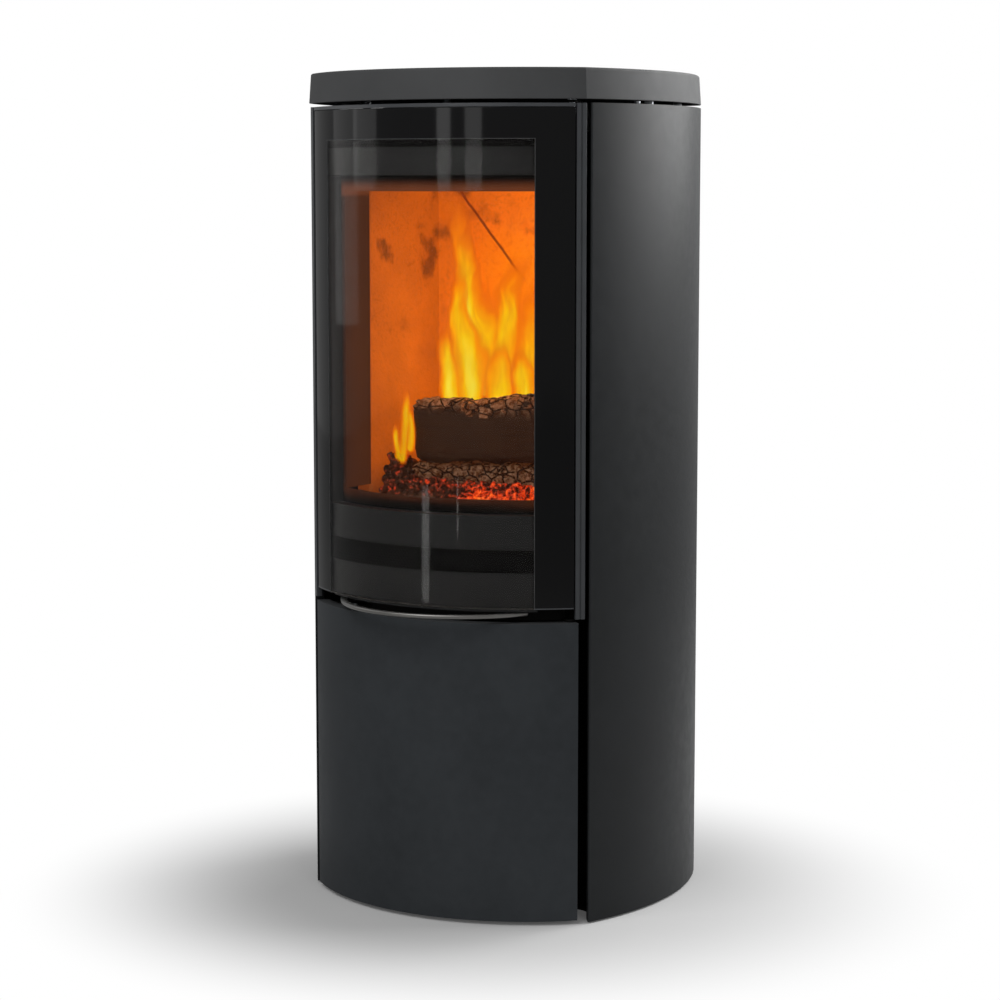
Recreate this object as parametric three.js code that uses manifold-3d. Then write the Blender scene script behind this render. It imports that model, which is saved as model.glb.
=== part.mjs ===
// A free-standing convection wood stove: a bowed glass door over a sheet-steel lower door, curved
// side panels, a thick top plate, and inside them a lined firebox with its grate, ash pan and flue.
// Millimetres. x runs to the stove's right, y to its back and z up. The plan is drawn about the
// centre of the bowed front, and the whole is then moved so that the origin is under its middle.
import * as THREE from 'three';
import { mergeVertices } from 'three/addons/utils/BufferGeometryUtils.js';
import Module from 'manifold-3d';

const wasm = await Module();
wasm.setup();

// ---- Driving dimensions ---------------------------------------------------------------------
const SEAT_GAP = 0.3;            // between pieces that touch

// Plan of the casing
const FRONT_RADIUS = 300;        // outer face of both doors
const TOP_OVERHANG = 3.5;        // of the top plate over the doors
const HALF_WIDTH = 248;          // of the casing where it is widest
const SIDE_RADIUS = 405;         // outer face of the side panels
const SIDE_CENTRE_Y = -52;
const REAR_CORNER_RADIUS = 40;
const BACK_Y = 150;              // outer face of the back
const PANEL_FRONT_Y = -209;      // folded front edge of the side panels
const PANEL_RETURN = 14;         // length of that fold
const CASING_SHEET = 2;

// Heights
const TOTAL_HEIGHT = 1120;
const TOP_PLATE_HEIGHT = 40;
const TOP_PLATE_WALL = 8;
const TOP_PLATE_RIM = 12;
const TOP_PLATE_DRAFT = 2.4;     // how much each side leans in over its height
const TOP_EDGE_ROUND = 3.6;
const PANEL_BOTTOM = 2;
const TOP_SLOT = 4.5;            // air slot between side panels and top plate
const FOOT_HEIGHT = 11;          // floor to underside of the base plate
const BASE_PLATE = 3;
const LOWER_DOOR_BOTTOM = 5;
const LOWER_DOOR_TOP = 404;
const DOOR_GAP = 18;             // lower door to glass, where the handle stands
const STRIP_GAP = 5;             // lower door to the upright edge strips
const TOP_STRIP_HEIGHT = 5;      // from the glass to the strips' upper end
const TOP_EDGE_CLEARANCE = 0.5;  // below and above the panels' upper edge

// Firebox, a welded box of thick plate
const SHELL_HALF_WIDTH = 174;
const SHELL_WALL = 4;
const SHELL_BACK_Y = 40;
const SHELL_DROP = 10;           // upper hinge to the firebox's top
const ROPE_SPACE = 4;            // door frame to front plate
const FRONT_PLATE_INSET = 1;     // its upright edges inside the shell's
const WINDOW_HALF_WIDTH = 148;   // fire opening in the front plate
const WINDOW_SILL = 31.7;        // hearth to fire opening
const WASH_SPACE = 27;           // fire opening to the liners' upper edge
const JAMB_DEPTH = 55;
const LINER_THICKNESS = 21.7;
const BACK_LINER_THICKNESS = 25;
const SMOKE_SPACE = 76;          // liners' upper edge to the firebox's top
const BAFFLE_THICKNESS = 25;
const BAFFLE_FRONT_Y = -195;
const BRICK_THICKNESS = 25;
const BRICK_SETBACK = 20;        // front plate to hearth bricks
const HEARTH_SHELF_SETBACK = 8;
const ASH_SHELF_SETBACK = 6;
const ASH_SHELF_RISE = 26.7;     // firebox floor to ash shelf
const ASH_SPACE = 68;            // ash shelf to hearth shelf
const GRATE_RADIUS = 75;
const GRATE_Y = -112;
const GRATE_THICKNESS = 11;

// Doors
const GLASS_THICKNESS = 4;
const GLASS_BEARING = 42.1;
const TAPE_SPACE = 2.3;          // glass to door frame
const TAPE_BEARING = 37;
const TAPE_WIDTH_BEARING = 2;
const TAPE_WIDTH = 30;
const TAPE_TOP_MARGIN = 20;      // from the glass's edge to the tape
const TAPE_BOTTOM_MARGIN = 48;
const FRAME_DEPTH = 17.7;
const FRAME_BEARING = 43.8;
const FRAME_TOP_MARGIN = 10;     // from the glass's edge to the frame
const FRAME_BOTTOM_MARGIN = 2.5;
const FRAME_WINDOW_BEARING = 33.5;
const FRAME_WINDOW_DROP = 18;    // frame window below the fire opening
const FRAME_WINDOW_RISE = 21;    // and above it
const STRIP_FROM = 42.4;         // bearings of the upright edge strips
const STRIP_TO = 44.9;
const STRIP_PROUD = 1.5;
const GASKET_INSET = 1.1;        // bearing from the front plate's edge to the rope
const GASKET_BEARING = 1.9;      // across the rope
const GASKET_WIDTH = 9;
const GASKET_BOTTOM_MARGIN = 5.5;
const GASKET_TOP_MARGIN = 15;
const LOWER_DOOR_BEARING = 43.3;
const LOWER_DOOR_SHEET = 2.5;
const LOWER_DOOR_DEPTH = 18;
const LOWER_RETURN_Z = 20;       // the lower fold sits above the skin's bottom edge

// Hinges: both doors turn on one upright line
const PIN_X = 190;
const PIN_Y = -213;
const PIN_RADIUS = 3.5;
const PIN_CLEARANCE = 0.5;
const HINGE_PLATE = 3;
const HINGE_NOSE = 7;
const PIN_REACH = 14;            // into the door frame
const PIN_HOLE_DEPTH = 16;

// Handle: a slim steel bow under the glass
const HANDLE_RADIUS = 162.7;
const HANDLE_REACH = 38;         // in front of the glass
const HANDLE_DEPTH = 8;
const HANDLE_HEIGHT = 6;
const HANDLE_GAP = 8;             // lower door to handle
const HANDLE_ANGLE = 65;         // each way from the middle of the bow

// Flue and fresh air
const FLUE_RADIUS = 75;
const FLUE_WALL = 3;
const FLUE_DROP = 82;            // firebox top to the flue's axis
const FLUE_END_Y = 165;
const FLUE_BOX_HALF_WIDTH = 100;
const FLUE_BOX_BACK_Y = 100;
const FLUE_BOX_DROP = 84;        // flue's axis to the box's floor
const AIR_RADIUS = 50;
const AIR_WALL = 1.5;
const AIR_DROP = 52;             // lower door's upper edge to the air pipe's axis
const AIR_END_Y = 158;
const AIR_BOX_FRONT_Y = -40;
const AIR_BOX_DROP = 54;         // air pipe's axis to the box's floor
const AIR_BOX_HALF_WIDTH = 110;
const CABINET_BACK_Y = 102;
const CABINET_SHEET = 2;

// Steps of the round forms
const FRONT_STEPS = 24;
const SIDE_STEPS = 14;
const CORNER_STEPS = 7;
const ROUND_STEPS = 20;

// ---- Worked-out sizes -----------------------------------------------------------------------
const radians = THREE.MathUtils.degToRad;
const degrees = THREE.MathUtils.radToDeg;

// The bearing at which a circle about the front's centre reaches a half width.
function bearingAt(halfWidth, radius) {
  return degrees(Math.asin(halfWidth / radius));
}

const BAR_FRONT_Y = -(FRONT_RADIUS + HANDLE_REACH);
const PLAN_SHIFT = -(BAR_FRONT_Y + FLUE_END_Y) / 2;
const SIDE_CENTRE_X = SIDE_RADIUS - HALF_WIDTH;  // the arcs' centres lie across the middle line
const BASE_TOP = FOOT_HEIGHT + BASE_PLATE;

// From the top plate down
const TOP_PLATE_BOTTOM = TOTAL_HEIGHT - TOP_PLATE_HEIGHT;
const TOP_PLATE_CEILING = TOTAL_HEIGHT - TOP_PLATE_WALL;
const PANEL_TOP = TOP_PLATE_BOTTOM - TOP_SLOT;
const TOP_EAR_BOTTOM = PANEL_TOP + TOP_EDGE_CLEARANCE;
const STRIP_TOP = PANEL_TOP - TOP_EDGE_CLEARANCE;
const GLASS_TOP = STRIP_TOP - TOP_STRIP_HEIGHT;
const FRAME_TOP = GLASS_TOP - FRAME_TOP_MARGIN;
const GASKET_TOP = FRAME_TOP - GASKET_TOP_MARGIN;
const SHELL_TOP = TOP_EAR_BOTTOM - SHELL_DROP;
const SHELL_CEILING = SHELL_TOP - SHELL_WALL;
const LINER_TOP = SHELL_TOP - SMOKE_SPACE;
const BAFFLE_BOTTOM = LINER_TOP + SEAT_GAP;
const BAFFLE_TOP = BAFFLE_BOTTOM + BAFFLE_THICKNESS;
const WINDOW_TOP = LINER_TOP - WASH_SPACE;
const FRAME_WINDOW_TOP = WINDOW_TOP + FRAME_WINDOW_RISE;
const FLUE_Z = SHELL_TOP - FLUE_DROP;
const FLUE_BOX_BOTTOM = FLUE_Z - FLUE_BOX_DROP;

// From the lower door up
const AIR_Z = LOWER_DOOR_TOP - AIR_DROP;
const AIR_BOX_BOTTOM = AIR_Z - AIR_BOX_DROP;
const STRIP_BOTTOM = LOWER_DOOR_TOP + STRIP_GAP;
const HANDLE_BOTTOM = LOWER_DOOR_TOP + HANDLE_GAP;
const GLASS_BOTTOM = LOWER_DOOR_TOP + DOOR_GAP;
const FRAME_BOTTOM = GLASS_BOTTOM + FRAME_BOTTOM_MARGIN;
const GASKET_BOTTOM = FRAME_BOTTOM + GASKET_BOTTOM_MARGIN;
const SHELL_BOTTOM = LOWER_DOOR_TOP + SEAT_GAP;
const SHELL_FLOOR = SHELL_BOTTOM + SHELL_WALL;
const ASH_SHELF_BOTTOM = SHELL_FLOOR + ASH_SHELF_RISE;
const ASH_SHELF_TOP = ASH_SHELF_BOTTOM + 2;
const HEARTH_SHELF_BOTTOM = ASH_SHELF_BOTTOM + ASH_SPACE;
const HEARTH_SHELF_TOP = HEARTH_SHELF_BOTTOM + 3;
const HEARTH_TOP = HEARTH_SHELF_TOP + SEAT_GAP + BRICK_THICKNESS;
const WINDOW_BOTTOM = HEARTH_TOP + WINDOW_SILL;
const FRAME_WINDOW_BOTTOM = WINDOW_BOTTOM - FRAME_WINDOW_DROP;

// From the bowed front inwards
const GLASS_INNER = FRONT_RADIUS - GLASS_THICKNESS;
const FRAME_OUTER_RADIUS = GLASS_INNER - TAPE_SPACE;
const FRAME_INNER_RADIUS = FRAME_OUTER_RADIUS - FRAME_DEPTH;
const FRONT_PLATE_RADIUS = FRAME_INNER_RADIUS - ROPE_SPACE;
const FRONT_PLATE_INNER = FRONT_PLATE_RADIUS - SHELL_WALL;
const FRONT_PLATE_HALF_WIDTH = SHELL_HALF_WIDTH - FRONT_PLATE_INSET;
const FRONT_PLATE_BEARING = bearingAt(FRONT_PLATE_HALF_WIDTH, FRONT_PLATE_RADIUS);
const GASKET_TO = FRONT_PLATE_BEARING - GASKET_INSET;
const GASKET_FROM = GASKET_TO - GASKET_BEARING;
const BRICK_FRONT_RADIUS = FRONT_PLATE_RADIUS - BRICK_SETBACK;
const INNER_HALF_WIDTH = SHELL_HALF_WIDTH - SHELL_WALL;
const INNER_BACK_Y = SHELL_BACK_Y - SHELL_WALL;
const BACK_LINER_FRONT_Y = INNER_BACK_Y - SEAT_GAP - BACK_LINER_THICKNESS;

// ---- Geometry helpers -----------------------------------------------------------------------
const point = (x, y) => new THREE.Vector2(x, y);
const mirrored = (points) => points.map((p) => point(-p.x, p.y)).reverse();

// Points along an arc, with angles in degrees from +x towards +y.
function arcPoints(centreX, centreY, radius, from, to, steps) {
  return Array.from({ length: steps + 1 }, (_, step) => {
    const angle = radians(from + ((to - from) * step) / steps);
    return point(centreX + radius * Math.cos(angle), centreY + radius * Math.sin(angle));
  });
}

// Points along the bowed front, with bearings in degrees from straight ahead towards the right.
function frontArc(radius, from, to, steps = FRONT_STEPS) {
  return arcPoints(0, 0, radius, from - 90, to - 90, steps);
}

// A closed mesh with shared corners becomes a solid that can be cut and joined.
function solid(geometry) {
  const bare = new THREE.BufferGeometry();
  bare.setAttribute('position', geometry.getAttribute('position'));
  if (geometry.index) bare.setIndex(geometry.index);
  const merged = mergeVertices(bare, 1e-4);
  const corners = merged.index.array;
  const kept = [];
  for (let i = 0; i < corners.length; i += 3) {
    const [a, b, c] = [corners[i], corners[i + 1], corners[i + 2]];
    if (a !== b && b !== c && c !== a) kept.push(a, b, c);
  }
  return new wasm.Manifold(new wasm.Mesh({
    numProp: 3,
    vertProperties: Float32Array.from(merged.getAttribute('position').array),
    triVerts: Uint32Array.from(kept),
  }));
}

function geometryOf(body) {
  const mesh = body.getMesh();
  const geometry = new THREE.BufferGeometry();
  geometry.setAttribute('position', new THREE.BufferAttribute(mesh.vertProperties, 3));
  geometry.setIndex(new THREE.BufferAttribute(mesh.triVerts, 1));
  geometry.computeVertexNormals();
  return geometry;
}

function cut(geometry, tools) {
  return geometryOf(tools.reduce((left, tool) => left.subtract(solid(tool)), solid(geometry)));
}

function join(...geometries) {
  return geometryOf(geometries.map(solid).reduce((whole, next) => whole.add(next)));
}

// An upright prism over a plan outline.
function prism(outline, bottom, top) {
  const shape = new THREE.Shape(outline);
  const geometry = new THREE.ExtrudeGeometry(shape, { depth: top - bottom, bevelEnabled: false });
  return geometry.translate(0, 0, bottom);
}

function box(x0, x1, y0, y1, z0, z1) {
  return prism([point(x0, y0), point(x1, y0), point(x1, y1), point(x0, y1)], z0, z1);
}

// A piece of a ring about the middle of the bowed front.
function band(inner, outer, from, to, bottom, top, steps = FRONT_STEPS) {
  return prism([...frontArc(outer, from, to, steps), ...frontArc(inner, to, from, steps)], bottom, top);
}

// A bowed frame: a band with a smaller band cut out of it.
function bandFrame(inner, outer, bearing, bottom, top, holeBearing, holeBottom, holeTop) {
  const hole = band(inner - 1, outer + 1, -holeBearing, holeBearing, holeBottom, holeTop);
  return cut(band(inner, outer, -bearing, bearing, bottom, top), [hole]);
}

// Bent sheet: a plan path given a thickness to its left, with mitred bends.
function bentSheet(path, thickness, bottom, top) {
  const inner = path.map((here, i) => {
    const before = path[Math.max(i - 1, 0)];
    const after = path[Math.min(i + 1, path.length - 1)];
    const arriving = i > 0 ? here.clone().sub(before) : after.clone().sub(here);
    const leaving = i < path.length - 1 ? after.clone().sub(here) : arriving.clone();
    arriving.normalize();
    leaving.normalize();
    const mean = arriving.clone().add(leaving).normalize();
    const reach = thickness / mean.dot(arriving);
    return point(here.x - mean.y * reach, here.y + mean.x * reach);
  });
  return prism([...path, ...inner.reverse()], bottom, top);
}

// A turned form about an upright axis: the profile holds [radius, height] pairs.
function turned(profile, x = 0, y = 0, steps = ROUND_STEPS) {
  const points = profile.map(([radius, height]) => point(radius, height));
  const geometry = new THREE.LatheGeometry([...points, points[0].clone()], steps);
  return geometry.rotateX(Math.PI / 2).translate(x, y, 0);
}

const cylinder = (radius, bottom, top, x, y, steps = ROUND_STEPS) => turned(
  [[0, bottom], [radius, bottom], [radius, top], [0, top]], x, y, steps,
);

// A turned form about an axis that runs to the back: the profile holds [radius, y] pairs.
function turnedAlongY(profile, z, steps = ROUND_STEPS) {
  const points = profile.map(([radius, y]) => point(radius, y));
  return new THREE.LatheGeometry([...points, points[0].clone()], steps).translate(0, 0, z);
}

const boreAlongY = (radius, y0, y1, z, steps) => turnedAlongY(
  [[0, y0], [radius, y0], [radius, y1], [0, y1]], z, steps,
);

// A skin over a stack of outlines with as many points each, lowest first, closed at both ends.
function loft(levels) {
  const count = levels[0].outline.length;
  const positions = levels.flatMap(({ outline, z }) => outline.flatMap((p) => [p.x, p.y, z]));
  const index = [];
  for (let level = 0; level < levels.length - 1; level += 1) {
    for (let i = 0; i < count; i += 1) {
      const next = (i + 1) % count;
      const [low, high] = [level * count, (level + 1) * count];
      index.push(low + i, low + next, high + next, low + i, high + next, high + i);
    }
  }
  const lid = (levels.length - 1) * count;
  for (const [a, b, c] of THREE.ShapeUtils.triangulateShape(levels[0].outline, [])) {
    index.push(c, b, a);
  }
  for (const [a, b, c] of THREE.ShapeUtils.triangulateShape(levels.at(-1).outline, [])) {
    index.push(lid + a, lid + b, lid + c);
  }
  const geometry = new THREE.BufferGeometry();
  geometry.setAttribute('position', new THREE.Float32BufferAttribute(positions, 3));
  geometry.setIndex(index);
  return geometry;
}

// ---- Plan of the casing ---------------------------------------------------------------------
// Where a circle about the plan's centre crosses the right side arc.
function frontCorner(frontRadius, sideRadius) {
  const away = Math.hypot(SIDE_CENTRE_X, SIDE_CENTRE_Y);
  const along = (frontRadius ** 2 - sideRadius ** 2 + away ** 2) / (2 * away);
  const across = Math.sqrt(frontRadius ** 2 - along ** 2);
  const [ux, uy] = [-SIDE_CENTRE_X / away, SIDE_CENTRE_Y / away];
  return point(along * ux - across * uy, along * uy + across * ux);
}

// The right side and rear corner of the casing, from a start point on the side arc to the flat
// back; a negative offset lies inside the outer face.
function sideOutline(offset, startAngle) {
  const reach = SIDE_RADIUS - REAR_CORNER_RADIUS;
  const cornerY = BACK_Y - REAR_CORNER_RADIUS;
  const turn = Math.asin((cornerY - SIDE_CENTRE_Y) / reach);
  const cornerX = -SIDE_CENTRE_X + reach * Math.cos(turn);
  const side = arcPoints(-SIDE_CENTRE_X, SIDE_CENTRE_Y, SIDE_RADIUS + offset, startAngle,
    degrees(turn), SIDE_STEPS);
  const corner = arcPoints(cornerX, cornerY, REAR_CORNER_RADIUS + offset, degrees(turn), 90,
    CORNER_STEPS);
  return [...side, ...corner.slice(1)];
}

const sideAngleAtY = (y, radius) => degrees(Math.asin((y - SIDE_CENTRE_Y) / radius));

// The whole plan, anticlockwise from the front left corner.
function casingOutline(offset, frontRadius = FRONT_RADIUS + TOP_OVERHANG + offset) {
  const corner = frontCorner(frontRadius, SIDE_RADIUS + offset);
  const bearing = degrees(Math.atan2(corner.x, -corner.y));
  const startAngle = sideAngleAtY(corner.y, SIDE_RADIUS + offset);
  const right = sideOutline(offset, startAngle);
  return [
    ...frontArc(frontRadius, -bearing, bearing),
    ...right.slice(1),
    ...mirrored(right).slice(0, -1),
  ];
}

// The firebox's plan: bowed front, straight sides and back.
function fireboxOutline(frontRadius, halfWidth, backY) {
  const bearing = bearingAt(halfWidth, frontRadius);
  const back = [point(halfWidth, backY), point(-halfWidth, backY)];
  return [...frontArc(frontRadius, -bearing, bearing), ...back];
}

// ---- Materials ------------------------------------------------------------------------------
const finish = (color, roughness, metalness) => (
  new THREE.MeshStandardMaterial({ color, roughness, metalness }));
const CASING_PAINT = finish(0x2a2b2c, 0.6, 0.3);
const FRAME_PAINT = finish(0x1c1c1d, 0.55, 0.3);
const STRIP_PAINT = finish(0x3a3c3e, 0.45, 0.3);
const INNER_STEEL = finish(0x1f1e1d, 0.8, 0.3);
const CAST_IRON = finish(0x262523, 0.85, 0.4);
const BRIGHT_STEEL = finish(0xa8a59c, 0.35, 1);
const ZINC = finish(0x9a9c9e, 0.45, 0.9);
const VERMICULITE = finish(0xb58a55, 0.95, 0);
const ROPE = finish(0x3c3a37, 1, 0);
const STOVE_GLASS = new THREE.MeshStandardMaterial({
  color: 0x0c0c0d, roughness: 0.08, metalness: 0, transparent: true, opacity: 0.6,
});

// ---- Building the stove ---------------------------------------------------------------------
const stove = new THREE.Group();
stove.name = 'stove';
const plan = new THREE.Group();
plan.position.y = PLAN_SHIFT;
stove.add(plan);

function add(name, geometry, material) {
  const mesh = new THREE.Mesh(geometryOf(solid(geometry)), material);
  mesh.name = name;
  plan.add(mesh);
  return mesh;
}

// Base plate, notched round the hinge line on both sides, on four screwed feet.
const HINGE_NOTCH = 25;
const BASE_SETBACK = 1;          // behind the lower door's folds
const BASE_FRONT_RADIUS = FRONT_RADIUS - LOWER_DOOR_DEPTH - BASE_SETBACK;
const FOOT_PLACES = [[150, -150], [-150, -150], [150, 70], [-150, 70]];
const FOOT_STUD = 5;

function basePlate() {
  const outline = casingOutline(-CASING_SHEET - SEAT_GAP, BASE_FRONT_RADIUS);
  const notches = [PIN_X, -PIN_X].map((x) => cylinder(HINGE_NOTCH, 0, BASE_TOP + 1, x, PIN_Y));
  const studHoles = FOOT_PLACES.map(([x, y]) => (
    cylinder(FOOT_STUD + SEAT_GAP, 0, BASE_TOP + 1, x, y, 16)));
  return cut(prism(outline, FOOT_HEIGHT, BASE_TOP), [...notches, ...studHoles]);
}
add('base_plate', basePlate(), INNER_STEEL);

const FOOT_PAD_RADIUS = 17;
const FOOT_PAD_HEIGHT = 4;
const FOOT_NUT_RADIUS = 9.5;
const FOOT_STUD_PROUD = 9;       // above the base plate
FOOT_PLACES.forEach(([x, y], i) => {
  const nutTop = FOOT_HEIGHT - SEAT_GAP;
  const studTop = BASE_TOP + FOOT_STUD_PROUD;
  const profile = [
    [0, 0], [FOOT_PAD_RADIUS - 1, 0], [FOOT_PAD_RADIUS, 1], [FOOT_PAD_RADIUS, FOOT_PAD_HEIGHT],
    [FOOT_NUT_RADIUS, FOOT_PAD_HEIGHT + 1.5], [FOOT_NUT_RADIUS, nutTop], [FOOT_STUD, nutTop],
    [FOOT_STUD, studTop - 1], [FOOT_STUD - 1, studTop], [0, studTop],
  ];
  add(`levelling_foot_${i + 1}`, turned(profile, x, y, 16), ZINC);
});

// Storage compartment: one bent sheet, with its front edges folded in behind the lower door.
const CABINET_SETBACK = 2.3;     // behind the lower door's folds
const CABINET_FRONT_RADIUS = FRONT_RADIUS - LOWER_DOOR_DEPTH - CABINET_SETBACK;
const CABINET_RETURN_BEARING = 31;

function storageCabinet() {
  const inner = SHELL_HALF_WIDTH - CABINET_SHEET;
  const radius = CABINET_FRONT_RADIUS - CABINET_SHEET;
  const bearing = bearingAt(SHELL_HALF_WIDTH, CABINET_FRONT_RADIUS);
  const right = [
    ...frontArc(CABINET_FRONT_RADIUS, CABINET_RETURN_BEARING, bearing, 6),
    point(SHELL_HALF_WIDTH, CABINET_BACK_Y),
  ];
  const innerRight = [
    ...frontArc(radius, CABINET_RETURN_BEARING, bearingAt(inner, radius), 6),
    point(inner, CABINET_BACK_Y - CABINET_SHEET),
  ];
  const inside = [...innerRight, ...mirrored(innerRight)];
  const outline = [...right, ...mirrored(right), ...inside.reverse()];
  const bottom = BASE_TOP + SEAT_GAP;
  const spigotHole = boreAlongY(AIR_RADIUS + 1, CABINET_BACK_Y - 10, CABINET_BACK_Y + 10, AIR_Z);
  return cut(prism(outline, bottom, LOWER_DOOR_TOP), [spigotHole]);
}
add('storage_cabinet', storageCabinet(), INNER_STEEL);

// Fresh air: a box under the firebox floor, open upwards, with a spigot out through the back.
const AIR_BOX_SHEET = 1.5;
function airBox() {
  const back = CABINET_BACK_Y - CABINET_SHEET - SEAT_GAP;
  const half = AIR_BOX_HALF_WIDTH;
  const outer = box(-half, half, AIR_BOX_FRONT_Y, back, AIR_BOX_BOTTOM, LOWER_DOOR_TOP);
  const hollow = box(-half + AIR_BOX_SHEET, half - AIR_BOX_SHEET,
    AIR_BOX_FRONT_Y + AIR_BOX_SHEET, back - AIR_BOX_SHEET,
    AIR_BOX_BOTTOM + AIR_BOX_SHEET, LOWER_DOOR_TOP + 1);
  const spigotHole = boreAlongY(AIR_RADIUS - AIR_WALL, back - 10, back + 10, AIR_Z);
  return cut(outer, [hollow, spigotHole]);
}
add('air_box', airBox(), INNER_STEEL);

const spigotStart = CABINET_BACK_Y - CABINET_SHEET;
add('air_spigot', turnedAlongY([
  [AIR_RADIUS - AIR_WALL, spigotStart], [AIR_RADIUS, spigotStart],
  [AIR_RADIUS, AIR_END_Y - 12], [AIR_RADIUS + 1.2, AIR_END_Y - 10], [AIR_RADIUS, AIR_END_Y - 8],
  [AIR_RADIUS, AIR_END_Y], [AIR_RADIUS - AIR_WALL, AIR_END_Y],
], AIR_Z), ZINC);

// Firebox shell: a box open to the front, with air holes in its floor and a smoke slot high in
// its back.
const AIR_HOLE_RADIUS = 11;
const AIR_HOLE_PITCH = 60;
const AIR_HOLES = [-1, 0, 1].map((place) => place * AIR_HOLE_PITCH);
const AIR_HOLE_Y = 0;
const SLOT_HALF_WIDTH = FLUE_BOX_HALF_WIDTH - 10;

const FLUE_SLOT_BOTTOM = LINER_TOP + BAFFLE_THICKNESS + 3;

function fireboxShell() {
  const front = FRONT_PLATE_INNER - SEAT_GAP;
  const outline = fireboxOutline(front, SHELL_HALF_WIDTH, SHELL_BACK_Y);
  const outer = prism(outline, SHELL_BOTTOM, SHELL_TOP);
  const hollow = box(-INNER_HALF_WIDTH, INNER_HALF_WIDTH, -front - 10, INNER_BACK_Y,
    SHELL_FLOOR, SHELL_CEILING);
  const smokeSlot = box(-SLOT_HALF_WIDTH, SLOT_HALF_WIDTH, INNER_BACK_Y - 5, SHELL_BACK_Y + 5,
    FLUE_SLOT_BOTTOM, SHELL_CEILING - 2);
  const airHoles = AIR_HOLES.map((x) => (
    cylinder(AIR_HOLE_RADIUS, SHELL_BOTTOM - 1, SHELL_FLOOR + 1, x, AIR_HOLE_Y, 16)));
  return cut(outer, [hollow, smokeSlot, ...airHoles]);
}
add('firebox_shell', fireboxShell(), INNER_STEEL);

// Bowed front plate with the fire opening, its jambs, the ash opening and the air lever's slot.
const ASH_OPENING_HALF_WIDTH = 130;
const ASH_OPENING_BOTTOM = ASH_SHELF_BOTTOM + 6;
const ASH_OPENING_TOP = HEARTH_SHELF_BOTTOM - 3;
const AIR_LEVER_X = -120;
const AIR_TRAVEL = 20;
const AIR_LEVER_WIDTH = 16;
const AIR_SLIDE_THICKNESS = 2;

function fireboxFront() {
  const plate = band(FRONT_PLATE_INNER, FRONT_PLATE_RADIUS, -FRONT_PLATE_BEARING, FRONT_PLATE_BEARING,
    SHELL_BOTTOM, SHELL_CEILING);
  const through = [-FRONT_PLATE_RADIUS - 5, -FRONT_PLATE_RADIUS / 2];
  const fireOpening = box(-WINDOW_HALF_WIDTH, WINDOW_HALF_WIDTH, ...through, WINDOW_BOTTOM, WINDOW_TOP);
  const ashOpening = box(-ASH_OPENING_HALF_WIDTH, ASH_OPENING_HALF_WIDTH, ...through,
    ASH_OPENING_BOTTOM, ASH_OPENING_TOP);
  const leverReach = AIR_TRAVEL + AIR_LEVER_WIDTH / 2 + 1;
  const leverSlot = box(AIR_LEVER_X - leverReach, AIR_LEVER_X + leverReach, ...through,
    SHELL_FLOOR - 0.5, SHELL_FLOOR + AIR_SLIDE_THICKNESS + 1);
  const opened = cut(plate, [fireOpening, ashOpening, leverSlot]);
  const edgeY = -Math.sqrt(FRONT_PLATE_INNER ** 2 - WINDOW_HALF_WIDTH ** 2);
  const jambBack = edgeY + JAMB_DEPTH;
  const jamb = (x0, x1) => box(x0, x1, edgeY - 2, jambBack, WINDOW_BOTTOM, WINDOW_TOP);
  const thickness = SHELL_WALL - 1;
  return {
    geometry: join(opened, jamb(WINDOW_HALF_WIDTH, WINDOW_HALF_WIDTH + thickness),
      jamb(-WINDOW_HALF_WIDTH - thickness, -WINDOW_HALF_WIDTH)),
    jambBack,
  };
}
const front = fireboxFront();
add('firebox_front', front.geometry, INNER_STEEL);

// Smoke leaves over the baffles through a box on the firebox's back, into the flue collar.
const FLUE_BOX_SHEET = 3;
function flueBox() {
  const start = SHELL_BACK_Y + SEAT_GAP;
  const top = SHELL_TOP - 2;
  const half = FLUE_BOX_HALF_WIDTH;
  const outer = box(-half, half, start, FLUE_BOX_BACK_Y, FLUE_BOX_BOTTOM, top);
  const hollow = box(-half + FLUE_BOX_SHEET, half - FLUE_BOX_SHEET,
    start + FLUE_BOX_SHEET, FLUE_BOX_BACK_Y - FLUE_BOX_SHEET,
    FLUE_BOX_BOTTOM + FLUE_BOX_SHEET, top - FLUE_BOX_SHEET);
  const smokeSlot = box(-SLOT_HALF_WIDTH, SLOT_HALF_WIDTH, start - 1, start + FLUE_BOX_SHEET + 1,
    FLUE_SLOT_BOTTOM, top - FLUE_BOX_SHEET);
  const collarHole = boreAlongY(FLUE_RADIUS - FLUE_WALL, FLUE_BOX_BACK_Y - 5, FLUE_BOX_BACK_Y + 5,
    FLUE_Z, 32);
  return cut(outer, [hollow, smokeSlot, collarHole]);
}
add('flue_box', flueBox(), INNER_STEEL);

const COLLAR_FLANGE = 4;
const collarStart = FLUE_BOX_BACK_Y + SEAT_GAP;
add('flue_collar', turnedAlongY([
  [FLUE_RADIUS - FLUE_WALL, collarStart], [FLUE_RADIUS + 5, collarStart],
  [FLUE_RADIUS + 5, collarStart + COLLAR_FLANGE], [FLUE_RADIUS, collarStart + COLLAR_FLANGE],
  [FLUE_RADIUS, FLUE_END_Y], [FLUE_RADIUS - FLUE_WALL, FLUE_END_Y],
], FLUE_Z, 32), CAST_IRON);

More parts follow.
